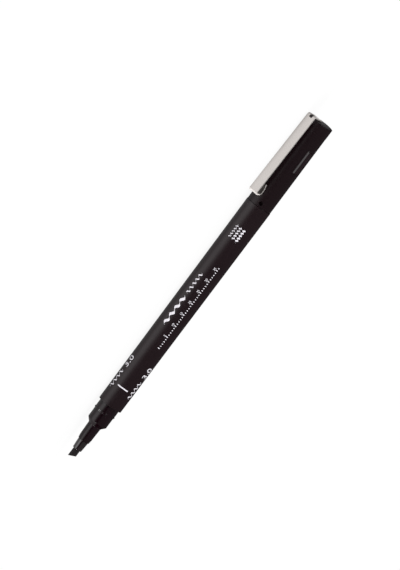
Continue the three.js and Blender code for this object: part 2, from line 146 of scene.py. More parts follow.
class PenHolderSizes(bpy.types.PropertyGroup):
    """Sizes of the stepped holder and of the nib's collar"""

    neck_radius: length("Neck radius", "Radius of the neck next to the barrel", 4.04e-3)
    neck_length: length("Neck length", "From the barrel to the cone", 7.9e-3)
    neck_draft: length("Neck draft", "How much slimmer the neck is ahead of its ridge", 0.09e-3)
    ridge_setback: length("Ridge setback", "From the barrel to the middle of the ridge", 3.3e-3)
    ridge_width: length("Ridge width", "Width of the ridge that the cap snaps over", 0.55e-3)
    ridge_height: length("Ridge height", "How far the ridge stands above the neck", 0.05e-3)
    pip_height: length("Pip height", "Height of a pip's slanting face at its middle", 0.2e-3)
    pip_length: length("Pip length", "Length of a pip along the pen", 0.64e-3)
    pip_width: length("Pip width", "Width of a pip round the pen", 0.85e-3)
    pip_pitch: angle("Pip pitch", "How far a pip's face is turned towards the nib", 19.9)
    pip_roll: angle("Pip roll", "How far a pip's face is turned on round the pen", 23.6)
    pip_steepness: amount("Pip steepness", "Rise of a pip's sides over their run", 4)
    pips: number("Pips", "Number of pips on the ridge", 8)
    pip_angle: angle("Pip angle", "Angle of the first pip from the clip", 11)
    cone_length: length("Cone length", "From the neck to the tube", 1.4e-3)
    tube_length: length("Tube length", "From the cone to the nose", 5.35e-3)
    tube_rear_radius: length("Tube rear radius", "Tube radius at the cone", 2.58e-3)
    tube_front_radius: length("Tube front radius", "Tube radius at the nose", 2.44e-3)
    nose_radius: length("Nose radius", "Radius of the holder's front face", 2.25e-3)
    press_fit: length("Press fit", "Room between pieces that are pushed together", 0.05e-3)
    face_gap: length("Face gap", "Room between faces that meet end to end", 0.1e-3)
    collar_base: length("Collar base", "Radius of the collar at the nose", 2.03e-3)
    collar_tip: length("Collar tip", "Radius of the collar at the nib", 1.78e-3)
    collar_spigot: length("Collar spigot", "Radius of the collar inside the holder", 1.8e-3)


class PenNibSizes(bpy.types.PropertyGroup):
    """Sizes of the chisel nib"""

    width: length("Width", "Width of the nib across its broad face", 2.8e-3)
    thickness: length("Thickness", "Thickness of the nib's rod", 1.5e-3)
    fit: length("Fit", "Room between the nib and its collar", 0.1e-3)
    slant: angle("Slant", "Angle of the writing edge off square", 21)
    turn: angle("Turn", "Angle from the clip to the nib's broad plane", -28)
    wedge_length: length("Wedge length", "Length of the long bevels", 2.4e-3)
    wedge_thickness: length("Wedge thickness", "Thickness where the long bevels end", 0.8e-3)
    chisel_length: length("Chisel length", "Length of the short bevels", 0.45e-3)
    edge_thickness: length("Edge thickness", "Thickness of the writing edge", 0.3e-3)
    point_length: length("Point length", "Length of the bevels at the hidden rear end", 3e-3)
    softness: length("Softness", "How far the cut fibre's edges are worn round", 0.05e-3)


class PenCapSizes(bpy.types.PropertyGroup):
    """Sizes of the cap's tube and of its crown"""

    radius: length("Radius", "Outer radius of the cap", 4.96e-3)
    bore_radius: length("Bore radius", "Radius of the cap's front bore", 4.2e-3)
    rear_bore_radius: length(
        "Rear bore radius", "Radius of the bore behind the liner's step", 4.35e-3
    )
    mouth_reach: length("Mouth reach", "How far the mouth comes towards the barrel", 0.1e-3)
    lead: length("Lead", "Chamfer inside the mouth", 0.25e-3)
    flare: length("Flare", "How much wider the cap is near the crown", 0.06e-3)
    flare_length: length("Flare length", "Length of the wider part", 3.4e-3)
    rib_length: length("Rib length", "Length of the raised rib", 10.1e-3)
    rib_width: length("Rib width", "Width of the raised rib", 2.3e-3)
    rib_height: length("Rib height", "How far the rib stands up", 0.95e-3)
    rib_slope: amount("Rib slope", "Mean rise of the rib's flanks over their run", 1.45)
    rib_setback: length("Rib setback", "From the mouth to the rib", 16.8e-3)
    rib_angle: angle("Rib angle", "Angle from the clip to the rib", 81)
    dimple_radius: length("Dimple radius", "Radius of the moulding gate's dimple", 0.75e-3)
    dimple_depth: length("Dimple depth", "Depth of the dimple", 0.5e-3)
    dimple_setback: length("Dimple setback", "From the mouth to the dimple", 1.35e-3)
    dimple_angle: angle("Dimple angle", "Angle from the clip to the dimple", 41)
    crown_thickness: length("Crown thickness", "Height of the crown above the cap", 0.55e-3)
    crown_power: amount("Crown power", "Squareness of the crown's rounded edge", 6)
    crown_dome: length("Crown dome", "How far the crown's end bulges", 0.3e-3)
    crown_depth: length("Crown depth", "Thickness of the crown's solid end", 5e-3)
    crown_wall: length("Crown wall", "Wall of the crown's spigot", 1e-3)
    press_fit: length("Press fit", "Room between pieces that are pushed together", 0.05e-3)
    face_gap: length("Face gap", "Room between faces that meet end to end", 0.1e-3)
    boss_width: length("Boss width", "Width of the boss under the clip", 3.7e-3)
    boss_length: length("Boss length", "Length of the boss along the pen", 2.1e-3)
    boss_easing: length("Boss easing", "Radius of the boss's edges", 0.3e-3)


class PenClipSizes(bpy.types.PropertyGroup):
    """Sizes of the bent clip"""

    thickness: length("Thickness", "Thickness of the sheet", 0.4e-3)
    width: length("Width", "Width of the strip", 4.15e-3)
    edge_easing: length("Edge easing", "How far the sheet's edges are rounded", 0.07e-3)
    sheet_gap: length("Sheet gap", "Room between the sheet and the crown", 0.3e-3)
    top_gap: length("Top gap", "Between the strip and the cap beside the crown", 1.42e-3)
    end_gap: length("End gap", "Between the strip and the cap at the free end", 2.72e-3)
    lip_gap: length("Lip gap", "Between the folded lip and the cap", 0.2e-3)
    setback: length("Setback", "From the cap's mouth to the corner of the free end", 3.25e-3)
    top_bend: length("Top bend", "Bend radius at the top of the strip", 0.6e-3)
    leg_bend: length("Leg bend", "Bend radius at the root", 0.45e-3)
    leg_offset: length("Leg offset", "From the pen's axis to the root", 2e-3)
    leg_width: length("Leg width", "Width of the root", 3e-3)
    leg_length: length("Leg length", "How deep the root goes into the crown", 3.4e-3)
    fold_bend: length("Fold bend", "Bend radius at the free end", 0.5e-3)
    toe_bend: length("Toe bend", "Bend radius at the lip's toe", 1.1e-3)
    heel_bend: length("Heel bend", "Bend radius at the lip's heel", 2e-3)
    toe_rise: length("Toe rise", "From the free end to the toe", 0.75e-3)
    heel_rise: length("Heel rise", "From the free end to the heel", 3e-3)
    lip_rise: length("Lip rise", "From the free end to the lip's end", 4.9e-3)
    lip_lift: length("Lip lift", "How far the lip's end turns away from the cap", 0.82e-3)
    window_width: length("Window width", "Width of the window in the bend", 1.4e-3)
    window_drop: length("Window drop", "How far the window goes down the strip", 1.25e-3)
    window_depth: length("Window depth", "How far the window goes in over the crown", 1.9e-3)


class PenPrintSettings(bpy.types.PropertyGroup):
    """Sizes and places of the white print"""

    numerals: bpy.props.StringProperty(
        name="Numerals",
        description="The edge's length in millimetres, as printed",
        default="3.0",
    )
    numeral_height: length("Numeral height", "Height of the printed numerals", 2.3e-3)
    numeral_length: length("Numeral length", "Length of the printed numerals", 4.6e-3)
    numeral_station: length("Numeral station", "Station where the numerals start", 15.1e-3)
    left_angle: angle("Left angle", "Angle of the numerals on the clip's side", -17.2)
    right_angle: angle("Right angle", "Angle of the numerals on the upper side", 96.7)
    mark_station: length(
        "Mark station", "Station where the stroke beside the numerals starts", 6e-3
    )
    mark_length: length("Mark length", "Length of that stroke", 7.4e-3)
    mark_swing: length("Mark swing", "How far that stroke swings to each side", 0.75e-3)
    mark_edge: length("Mark edge", "Length of the edge that draws that stroke", 0.5e-3)
    edge_slope: angle("Edge slope", "Slope of the edge that draws the strokes", 50)
    lift: length("Lift", "How far the ink stands above the plastic", 0.012e-3)
    ink_thickness: length(
        "Ink thickness", "Thickness of the ink with its root in the plastic", 0.0192e-3
    )
    bar_station: length("Bar station", "Station of the bar across the barrel", 8.2e-3)
    bar_width: length("Bar width", "Width of the bar", 0.47e-3)
    bar_start: angle("Bar start", "Angle where the bar starts", 13.4)
    bar_end: angle("Bar end", "Angle where the bar ends", 66.7)
    wave_start: length("Wave start", "Station where the sample strokes start", 35.9e-3)
    wave_end: length("Wave end", "Station where the sample strokes end", 58.7e-3)
    wave_angle: angle("Wave angle", "Angle of the sample strokes", 16.4)
    wave_swing: length("Wave swing", "How far the sample strokes swing to each side", 0.5e-3)
    wave_gap: length("Wave gap", "Between the broad and the fine sample stroke", 1.2e-3)
    broad_share: amount("Broad share", "Share of their length that is the broad stroke's", 0.55)
    broad_edge: length("Broad edge", "Length of the edge that draws the broad stroke", 1e-3)
    fine_edge: length("Fine edge", "Length of the edge that draws the fine stroke", 0.45e-3)
    rule_start: length("Rule start", "Station of the millimetre scale's zero", 27.6e-3)
    rule_angle: angle("Rule angle", "Angle of the millimetre scale", 56.2)
    rule_length: number("Rule length", "Length of the scale in millimetres", 36)
    tick_width: length("Tick width", "Width of the scale's ticks", 0.3e-3)
    long_tick: length(
        "Long tick", "Height of the scale's numerals and of every fifth tick", 0.85e-3
    )
    short_tick: length("Short tick", "Height of the other ticks", 0.5e-3)
    count_rise: length(
        "Count rise", "From the ticks' tops to the middle of the scale's numerals", 0.55e-3
    )
    samples_start: length("Samples start", "Station where the line samples start", 75e-3)
    samples_length: length("Samples length", "Length of a line sample", 5.4e-3)
    samples_swing: length("Samples swing", "How far a line sample swings to each side", 0.4e-3)
    samples_angle: angle("Samples angle", "Angle of the middle line sample", 34.8)
    samples_pitch: angle("Samples pitch", "Angle between the line samples", 18)
    sample_edges: bpy.props.FloatVectorProperty(
        name="Sample edges",
        description="Lengths of the edges that draw the line samples",
        default=(0.3e-3, 0.45e-3, 0.6e-3),
        unit="LENGTH",
        precision=6,
    )


class PenFinishes(bpy.types.PropertyGroup):
    """Colours and surfaces of the materials"""

    barrel: colour("Barrel", "Satin black of the barrel", 0.0066, 0.0005, 0.0022)
    cap: colour("Cap", "Satin black of the cap", 0.0054, 0.0004, 0.0018)
    holder: colour("Holder", "Black of the holder and collar", 0.0046, 0.0003, 0.0018)
    crown: colour("Crown", "Black of the crown", 0.005, 0.001, 0.0024)
    fibre: colour("Fibre", "Ink-soaked fibre of the nib", 0.011, 0.0085, 0.0095)
    steel: colour("Steel", "Satin sheet steel of the clip", 0.645, 0.607, 0.583)
    ink: colour("Ink", "White ink of the print", 0.68, 0.66, 0.7)
    liner: colour("Liner", "Natural plastic of the liner", 0.69, 0.67, 0.62)
    film: colour("Film", "Clear film round the reservoir", 0.8, 0.81, 0.82)
    barrel_roughness: amount("Barrel roughness", "Roughness of the barrel and cap", 0.43)
    cap_index: amount("Cap index", "Refractive index of the cap's plastic", 1.5)
    holder_roughness: amount("Holder roughness", "Roughness of the holder", 0.22)
    crown_roughness: amount("Crown roughness", "Roughness of the crown", 0.6)
    collar_roughness: amount("Collar roughness", "Roughness of the nib collar", 0.13)
    collar_index: amount("Collar index", "Refractive index of the collar's dense plastic", 2.0)
    steel_roughness: amount("Steel roughness", "Roughness of the clip", 0.36)
    cut_reach: length("Cut reach", "How far the clip's cut edges are matt", 0.12e-3)
    # Reach of the painted highlight on the clip's lower bend.
    bend_reach: length("Bend reach", "How far the clip's lower bend is matt", 0.8e-3)
    # Reach of the painted shade inside the clip's fold.
    dull_reach: length("Dull reach", "How far the clip's fold is dull inside", 6e-3)


class PenStageSettings(bpy.types.PropertyGroup):
    """Floor, light and camera"""

    floor_colour: colour("Floor colour", "Colour of the floor", 0.9, 0.9, 0.9)
    floor_radius: length("Floor radius", "Radius of the round floor", 5)
    floor_mottle: length("Floor mottle", "Size of the floor's faint mottling", 0.4)
    whiteness: amount("Whiteness", "Share of plain white in the floor as it is seen", 0.9)
    # The floor's glow in reflections is a painted reflection: close to the pen it is dimmed as a painted contact
    # shadow, and far off as painted shade.
    mirrored: amount("Mirrored", "Brightness of the floor beside the pen in reflections", 1)
    far_floor: amount("Far floor", "Share of that brightness left further away", 0.15)
    near_floor: amount("Near floor", "Share of that brightness left close to the pen", 0.38)
    lit_from: length("Lit from", "Distance from the pen where the bright floor is reached", 8e-3)
    lit_until: length("Lit until", "Distance from the pen where the floor is dim again", 32e-3)
    ambient: amount("Ambient", "Strength of the room's own light", 0.6)
    ceiling: amount("Ceiling", "Strength of the dim ceiling in reflections", 0.12)
    ceiling_foot: amount("Ceiling foot", "Sine of the height where the ceiling's light begins", 0.2)
    ceiling_full: amount(
        "Ceiling full", "Sine of the height where it is at its full strength", 0.55
    )
    lamp_strength: amount("Lamp strength", "Multiplies every lamp's power", 1)
    camera_distance: length("Camera distance", "From the camera to the pen", 3.0)
    camera_height: angle("Camera height", "Angle of the view above the horizon", 15.48)
    camera_turn: angle("Camera turn", "Angle of the view towards the crown", 7.27)
    pen_slope: angle("Pen slope", "Angle of the pen in the picture above level", 53.22)
    aim_station: length("Aim station", "Station that lies at the picture's aim point", 58.89e-3)


# Picture frame in pixels, and the pixel where the aim station of the pen's axis lies
PICTURE_WIDTH, PICTURE_HEIGHT = 400, 570
AIM_X, AIM_Y = 207.33, 274.56
PIXEL = 0.3588e-3
SENSOR = 36.0

# Lamps: direction from the pen, distance, width, height, power in watts and whether reflections
# show them
LAMPS = {
    "key_crown": ((0.80, 0.15, 0.58), 1.2, 0.5, 0.5, 4.6, True),
    "key_nib": ((-0.80, 0.15, 0.58), 1.2, 0.5, 0.5, 4.6, False),
    "fill_crown": ((0.62, 0.74, 0.25), 1.2, 0.4, 0.3, 4.2, False),
    "fill_nib": ((-0.66, 0.70, 0.28), 1.2, 0.4, 0.3, 4.2, False),
    "back": ((0.25, -0.80, 0.55), 1.3, 0.6, 0.4, 4.4, False),
    "spark": ((-0.730, 0.679, 0.078), 0.95, 0.08, 0.08, 0.8, True),
}


class Value:
    """A number socket of a node tree. Python's operators on it add Math nodes."""

    def __init__(self, nodes, socket):
        self.nodes = nodes
        self.socket = socket

    def maths(self, operation, *terms):
        """What a Math node makes of its terms."""
        node = self.nodes.node("Math", {"operation": operation}, dict(enumerate(terms)))
        return Value(self.nodes, node.outputs[0])

    def __add__(self, other):
        return self.maths("ADD", self, other)

    def __radd__(self, other):
        return self.maths("ADD", other, self)

    def __sub__(self, other):
        return self.maths("SUBTRACT", self, other)

    def __rsub__(self, other):
        return self.maths("SUBTRACT", other, self)

    def __mul__(self, other):
        return self.maths("MULTIPLY", self, other)

    def __pow__(self, other):
        return self.maths("POWER", self, other)

    def above(self, low, high):
        """0 below low, 1 above high and a smooth climb between them."""
        node = self.nodes.node(
            "MapRange",
            {"interpolation_type": "SMOOTHSTEP"},
            {"Value": self, "From Min": low, "From Max": high},
        )
        return Value(self.nodes, node.outputs[0])

    def largest(self, other):
        """The larger of two numbers."""
        return self.maths("MAXIMUM", self, other)

    def size(self):
        """The number without its sign."""
        return self.maths("ABSOLUTE", self)


class Nodes:
    """The emptied node tree of a material or a world, with the one method that makes any node, and
    short forms of common ones."""

    def __init__(self, owner):
        owner.use_nodes = True
        self.owner = owner
        self.tree = owner.node_tree
        self.tree.nodes.clear()

    def node(self, kind, settings=None, inputs=None):
        """A new node of a kind, with settings, and with inputs that are numbers or sockets."""
        node = self.tree.nodes.new("ShaderNode" + kind)
        for name, setting in (settings or {}).items():
            setattr(node, name, setting)
        for name, term in (inputs or {}).items():
            term = term.socket if isinstance(term, Value) else term
            if isinstance(term, bpy.types.NodeSocket):
                self.tree.links.new(term, node.inputs[name])
            else:
                node.inputs[name].default_value = term
        return node

    def spot(self, stretch=(1, 1, 1)):
        """Object coordinates, squeezed by a factor along each axis."""
        place = self.node("TexCoord").outputs["Object"]
        if tuple(stretch) == (1, 1, 1):
            return place
        return self.node("Mapping", None, {"Vector": place, "Scale": stretch}).outputs[0]

    def pen_place(self):
        """Station along the pen, and distances from its axis across to the clip and aside."""
        apart, dot = {"operation": "SUBTRACT"}, {"operation": "DOT_PRODUCT"}
        offset = self.node("VectorMath", apart, {0: self.spot(), 1: AXIS_POINT}).outputs[0]
        dots = [
            self.node("VectorMath", dot, {0: offset, 1: way}) for way in (ALONG, CLIPWARD, SIDEWARD)
        ]
        return [Value(self, node.outputs["Value"]) for node in dots]

    def radius(self):
        """Distance from the pen's axis."""
        _, across, aside = self.pen_place()
        return (across * across + aside * aside) ** 0.5

    def noise(self, size, detail=2.0, stretch=(1, 1, 1), roughness=0.5):
        """Noise whose lumps are about the given size in metres."""
        inputs = {
            "Vector": self.spot(stretch),
            "Scale": 1 / size,
            "Detail": detail,
            "Roughness": roughness,
        }
        return Value(self, self.node("TexNoise", None, inputs).outputs[0])

    def blend(self, factor, first, second):
        """A colour between two others."""
        ends = {0: factor, 6: shade(first), 7: shade(second)}
        return self.node("Mix", {"data_type": "RGBA"}, ends).outputs[2]

    def tint(self, factor, tone, low, high=1.0):
        """A tone scaled by low where the factor is 0 and by high where it is 1."""
        return self.blend(factor, shade(tone, low), shade(tone, high))

    def bump(self, height, depth):
        """A normal tilted by a height pattern whose full range is the given depth in metres."""
        inputs = {"Strength": 1.0, "Distance": depth, "Height": height}
        return self.node("Bump", None, inputs).outputs[0]

    def split(self, place, axis):
        """One coordinate of a place."""
        return Value(self, self.node("SeparateXYZ", None, {"Vector": place}).outputs[axis])

    def rays(self):
        """Two numbers: 1 for what the camera sees itself, and 1 for what it sees reflected or
        through something clear."""
        seen = self.node("LightPath").outputs
        kinds = "Is Camera Ray", "Is Glossy Ray", "Is Transmission Ray"
        direct, glossy, clear = (Value(self, seen[kind]) for kind in kinds)
        return direct, glossy.largest(clear)

    def surface(self, **inputs):
        """The surface shader, its sockets named with underscores, and the output. Gives the
        finished material."""
        sockets = {name.replace("_", " "): term for name, term in inputs.items()}
        shader = self.node("BsdfPrincipled", None, sockets)
        self.node("OutputMaterial", None, {"Surface": shader.outputs[0]})
        return self.owner


def shade(value, factor=1.0):
    """A socket as it is, or a colour scaled by a factor and given full alpha."""
    if isinstance(value, bpy.types.NodeSocket):
        return value
    return (*(part * factor for part in value[:3]), 1.0)


def material(name):
    """A new material's node tree."""
    return Nodes(bpy.data.materials.new(name))


def black_plastic(name, tone, roughness, grain, ior=1.6, coat=0.0, rubbed=None):
    """Moulded black plastic: spark-eroded grain, faint flow lines along the pen and rare fine rubs. If a rubbed
    radius is given, handling has polished what stands out beyond it, and what lies deeper is darkened as painted
    shade: it turns metallic on its black tone and rougher, so that it renders nearly black."""
    nodes = material(name)
    broad = nodes.noise(9 * MM, 3)
    flow = nodes.noise(1.1 * MM, 2, (0.05, 1, 1))
    fine = nodes.noise(0.11 * MM, 2)
    rubs = nodes.noise(0.5 * MM, 4, (0.12, 1, 1), 0.62).above(0.66, 0.78)
    matt = roughness - 0.05 + broad * 0.06 + flow * 0.05 + rubs * 0.1
    recess_shade = 0.0
    if rubbed:
        rise = nodes.radius() - rubbed
        coat = rise.above(0.1 * MM, 0.3 * MM)
        # Painted shade: what lies deeper than the rubbed radius, such as the dimple and the bore, turns metallic
        # on its black tone and rougher, so that it renders nearly black.
        recess_shade = (0 - rise).above(0.08 * MM, 0.2 * MM) * 0.8
        matt = matt - coat * 0.22 + recess_shade * 0.5
    return nodes.surface(
        Base_Color=nodes.tint(broad * 0.7 + rubs * 0.4, tone, 0.9, 1.16),
        Roughness=matt,
        Metallic=recess_shade,
        IOR=ior,
        Coat_Weight=coat,
        Normal=nodes.bump(fine * 0.7 + flow * 0.3, grain),
    )


def nib_fibre(name, tone):
    """Bonded fibre soaked with ink: fine strands along the nib, with slightly paler dry ends."""
    nodes = material(name)
    strands = nodes.noise(0.09 * MM, 3, (0.06, 1, 1), 0.6)
    clumps = nodes.noise(0.5 * MM, 2, (0.3, 1, 1))
    dry = (strands * 0.6 + clumps * 0.4).above(0.5, 0.75)
    return nodes.surface(
        Base_Color=nodes.tint(dry, tone, 0.8, 2.3),
        Roughness=0.62 + strands * 0.25,
        Normal=nodes.bump(strands + clumps * 0.5, 0.03 * MM),
    )


def sheet_steel(name, finishes, half_width, fold_end, fold_depth):
    """Rolled and tumbled sheet steel: fine lines along the strip, soft mottling and tiny pits. The cut edges are
    matt and paler. The fold's outer bend is matt and painted pale as a painted highlight, and the inside of the
    fold is darkened as painted shade."""
    nodes = material(name)
    station, across, aside = nodes.pen_place()
    up = station - fold_end
    cut = aside.size().above(half_width - finishes.cut_reach, half_width - finishes.cut_reach / 3)
    # Painted highlight: the fold's outer bend is made matt and painted up to 1.2 times the steel's tone.
    bend_highlight = (finishes.bend_reach - up).above(0, 0.35 * MM)
    # Painted shade: inside the fold the steel's tone is darkened towards 0.3 of itself.
    fold_shade = (finishes.dull_reach - up).above(0, MM) * (fold_depth - across).above(0, 0.4 * MM)
    fold_shade = fold_shade * (1 - cut) * (1 - bend_highlight)
    # The matt mask holds the real matt cut edges and the bend's painted highlight.
    matt = cut.largest(bend_highlight)
    lines = nodes.noise(0.07 * MM, 3, (0.03, 1, 1), 0.6)
    mottle = nodes.noise(1.6 * MM, 3)
    pits = nodes.noise(0.16 * MM, 2).above(0.68, 0.8)
    clean = nodes.tint(mottle * 0.8 + lines * 0.2, finishes.steel, 0.95, 1.04)
    shady = nodes.blend(fold_shade, clean, shade(finishes.steel, 0.3))
    return nodes.surface(
        Base_Color=nodes.blend(matt, shady, nodes.tint(bend_highlight, finishes.steel, 0.5, 1.2)),
        Metallic=1 - matt * 0.85,
        Roughness=finishes.steel_roughness - 0.08 + lines * 0.1 + mottle * 0.06,
        Normal=nodes.bump(lines - pits * 0.6, 0.004 * MM),
    )


def printed_ink(name, tone):
    """White pad-printed ink: nearly even, a touch thinner in small patches."""
    nodes = material(name)
    thin = nodes.noise(0.25 * MM, 3).above(0.55, 0.85)
    return nodes.surface(
        Base_Color=nodes.tint(thin, tone, 1.0, 0.86),
        Roughness=0.5 + thin * 0.15,
        Normal=nodes.bump(nodes.noise(0.08 * MM, 2), 0.002 * MM),
    )


def pale_plastic(name, tone):
    """Natural uncoloured moulding: waxy, with slow flow marks."""
    nodes = material(name)
    flow = nodes.noise(2.2 * MM, 3, (0.2, 1, 1))
    return nodes.surface(
        Base_Color=nodes.tint(flow, tone, 0.94),
        Roughness=0.42 + flow * 0.1,
        Subsurface_Weight=0.15,
        Subsurface_Scale=0.6 * MM,
        Normal=nodes.bump(flow, 0.01 * MM),
    )


def wet_core(name, tone):
    """The reservoir's bundle of fibres, dark with ink."""
    nodes = material(name)
    strands = nodes.noise(0.14 * MM, 3, (0.02, 1, 1), 0.6)
    stains = nodes.noise(3 * MM, 3)
    return nodes.surface(
        Base_Color=nodes.tint(stains, tone, 0.9, 3),
        Roughness=0.7 + strands * 0.2,
        Normal=nodes.bump(strands, 0.05 * MM),
    )


def clear_film(name, tone):
    """Thin clear film, slightly hazy."""
    nodes = material(name)
    haze = nodes.noise(1.5 * MM, 3, (0.3, 1, 1))
    return nodes.surface(
        Base_Color=nodes.tint(haze, tone, 0.95),
        Roughness=0.12 + haze * 0.1,
        Alpha=0.35,
        Normal=nodes.bump(haze, 0.01 * MM),
    )


def place(station, across, aside):
    """Row coordinates: the axis at a station, moved across to the clip's side, and aside by a
    quarter turn."""
    parts = np.broadcast_arrays(station, across, aside)
    station, across, aside = (part[..., None] for part in parts)
    return AXIS_POINT + station * ALONG + across * CLIPWARD + aside * SIDEWARD


def around(station, radius, turn):
    """Row coordinates of the point at a radius from the axis, turned round from the clip."""
    return place(station, radius * np.cos(turn), radius * np.sin(turn))


def eased(*corners):
    """Outline through (station, radius, easing) corners. A parabola cuts each corner, from easing
    ahead of it to easing past it, and one more point at each end keeps the straight sides flat."""
    spots = np.array([corner[:2] for corner in corners])
    ways = np.roll(spots, -1, axis=0) - spots
    sides = np.linalg.norm(ways, axis=1)
    ways /= sides[:, None]
    easings = np.array([corner[2] for corner in corners]) * (1 + HOLD)
    if (easings + np.roll(easings, -1) > sides).any():
        raise RuntimeError("An outline's side is too short for the easings at its ends")
    t = np.linspace(0, 1, EASE_STEPS + 1)[:, None]
    outline = []
    for i, (*_, easing) in enumerate(corners):
        if easing == 0:
            outline.append(spots[i : i + 1])
            continue
        back, ahead = -ways[i - 1] * easing, ways[i] * easing
        curve = spots[i] + (1 - t) ** 2 * back + t**2 * ahead
        outline += [[spots[i] + back * (1 + HOLD)], curve, [spots[i] + ahead * (1 + HOLD)]]
    return np.vstack(outline)


def turned(outline, turns, swell=None):
    """Grid of points: each outline point swept round the axis to every turn. swell adds to the
    radius, as a function of station, radius and turn."""
    station, radius = outline.T[:, :, None]
    turn = turns[None, :]
    if swell:
        radius = radius + swell(station, radius, turn)
    return around(station, radius, turn)


def even_turns(count):
    """Angles spread evenly round the pen."""
    return np.arange(count) / count * TURNS


def turn_from(middle, turn):
    """The angle from a middle to a turn, the short way round."""
    return (turn - middle + math.pi) % TURNS - math.pi


def closer(turns, middle, reach, step):
    """The angles with more of them, a step apart, within a reach of a middle, both in degrees."""
    reach, step = math.radians(reach), math.radians(step)
    fine = np.arange(middle - reach, middle + reach, step) % TURNS
    off = np.abs(turn_from(middle, turns))
    return np.sort(np.concatenate([turns[off > reach + step], fine]))


def tidied(name, points, faces, closed=True):
    """A mesh with doubles merged and faces turned outwards. Raises an error if it should be closed
    and isn't."""
    mesh = bpy.data.meshes.new(name)
    mesh.from_pydata(points.reshape(-1, 3).tolist(), [], faces)
    made = bmesh.new()
    made.from_mesh(mesh)
    bmesh.ops.remove_doubles(made, verts=made.verts, dist=MERGE)
    bmesh.ops.recalc_face_normals(made, faces=made.faces)
    made.to_mesh(mesh)
    made.free()
    edges = np.empty(len(mesh.loops), int)
    mesh.loops.foreach_get("edge_index", edges)
    if closed and (np.bincount(edges, minlength=len(mesh.edges)) != 2).any():
        raise RuntimeError(f"{name} isn't a closed surface")
    smooth(mesh)
    return mesh


def smooth(mesh):
    """Smooth shading, but for edges sharper than the limit."""
    mesh.shade_smooth()
    mesh.set_sharp_from_angle(angle=SHARP)


def skin(name, grid, ring=True):
    """A closed mesh over a grid whose rows each run round the pen. With ring, the last row joins
    the first; without it, each end row is one point on the axis or is filled by a face."""
    rows, columns = grid.shape[:2]
    index = np.arange(rows * columns).reshape(rows, columns)
    if ring:
        index = np.vstack([index, index[:1]])
    here, there = index[:-1], index[1:]
    quads = np.stack([here, np.roll(here, -1, 1), np.roll(there, -1, 1), there], -1)
    faces = quads.reshape(-1, 4).tolist()
    if not ring and np.ptp(grid[0], axis=0).max() > MERGE:
        faces += [index[0][::-1].tolist(), index[-1].tolist()]
    return tidied(name, grid, faces)


def paint(mesh, finish):
    """Leaves a mesh with one material."""
    mesh.materials.clear()
    mesh.materials.append(finish)


def add_object(name, data):
    """A new object in the scene."""
    made = bpy.data.objects.new(name, data)
    bpy.context.scene.collection.objects.link(made)
    return made


def add_piece(mesh, body, slot, finish, *nodes):
    """A finished mesh as an object in the scene that rides on a body and stands for CAD nodes."""
    paint(mesh, finish)
    piece = add_object(mesh.name, mesh)
    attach(piece, body)
    if nodes:
        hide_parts(*nodes)
    return piece


def carved(mesh, *cuts):
    """The mesh after exact booleans, each given as an operation and a closed mesh."""
    blank = add_object("carving", mesh)
    tools = []
    for operation, cutter in cuts:
        tool = add_object("carving_tool", cutter)
        tools.append(tool)
        modifier = blank.modifiers.new(operation, "BOOLEAN")
        modifier.operation = operation
        modifier.solver = "EXACT"
        modifier.object = tool
    depsgraph = bpy.context.evaluated_depsgraph_get()
    result = bpy.data.meshes.new_from_object(blank.evaluated_get(depsgraph))
    for spent in (blank, *tools):
        bpy.data.objects.remove(spent)
    name = mesh.name
    bpy.data.meshes.remove(mesh)
    result.name = name
    smooth(result)
    return result


def rounded_bar(name, start, end, low, high, easing):
    """A bar of rounded rectangular section between two places across the pen, from a low (station,
    aside) corner to a high one. Its section shrinks along a quarter circle at the far end."""
    corner = even_turns(32) + TURNS / 64
    low, high = np.array(low), np.array(high)
    middle, half = (low + high) / 2, (high - low) / 2 - easing
    heading = np.stack([np.cos(corner), np.sin(corner)], -1)
    core = middle + np.sign(heading) * half
    quarter = np.linspace(0, TURNS / 4, 7)
    reach = np.concatenate([[start], end - easing * (1 - np.sin(quarter))])
    size = np.concatenate([[easing], easing * np.cos(quarter)])
    section = core[None] + heading[None] * size[:, None, None]
    grid = place(section[..., 0], reach[:, None], section[..., 1])
    return skin(name, grid, ring=False)


def build_barrel(sizes, finishes):
    """A tapered tube with softened rims."""
    ease = sizes.rim_easing
    outline = eased(
        (0, sizes.bore_radius, ease / 2),
        (0, sizes.front_radius, ease),
        (BARREL_END, sizes.rear_radius, ease),
        (BARREL_END, sizes.bore_radius, ease / 2),
    )
    mesh = skin("barrel_tube", turned(outline, even_turns(192)))
    finish = black_plastic("satin_black", finishes.barrel, finishes.barrel_roughness, 0.006 * MM)
    add_piece(mesh, "pen", "barrel_black", finish, "barrel")


def ridge_swell(holder, middle, pip_height=0.0):
    """How far the ridge stands up: a flat-topped bell along the pen, with a small wedge at each of
    the evenly spaced pips round it. A wedge is the lesser of a slanting plane and steep sides.
    With no pip height there are no pips."""

    def swell(station, radius, turn):
        ahead = station - middle
        bell = np.exp(-((ahead / (holder.ridge_width / 2)) ** 4)) * holder.ridge_height
        step = TURNS / holder.pips
        off = ((turn - holder.pip_angle + step / 2) % step - step / 2) * holder.neck_radius
        slant = ahead * math.tan(holder.pip_pitch) - off * math.tan(holder.pip_roll)
        level = holder.neck_radius - holder.neck_draft / 2 + pip_height
        plane = level + slant + off**2 / holder.neck_radius / 2 - radius
        ends, sides = holder.pip_length / 2 - np.abs(ahead), holder.pip_width / 2 - np.abs(off)
        flank = np.minimum(ends, sides) * holder.pip_steepness
        pip = np.minimum(plane, flank) if pip_height else 0
        outside = radius > holder.neck_radius - 2 * holder.neck_draft
        return outside * np.maximum(bell, pip)

    return swell


def ridge_rows(holder, middle, radius_before, radius_after):
    """Closely spaced outline corners across the ridge, from one neck radius to the next."""
    reach = holder.ridge_width * 1.1
    stations = np.linspace(middle - reach, middle + reach, 25)
    share = np.clip((stations - middle + reach / 2) / reach, 0, 1)
    radii = radius_before + (radius_after - radius_before) * share**2 * (3 - 2 * share)
    return [(station, radius, 0) for station, radius in zip(stations, radii)]


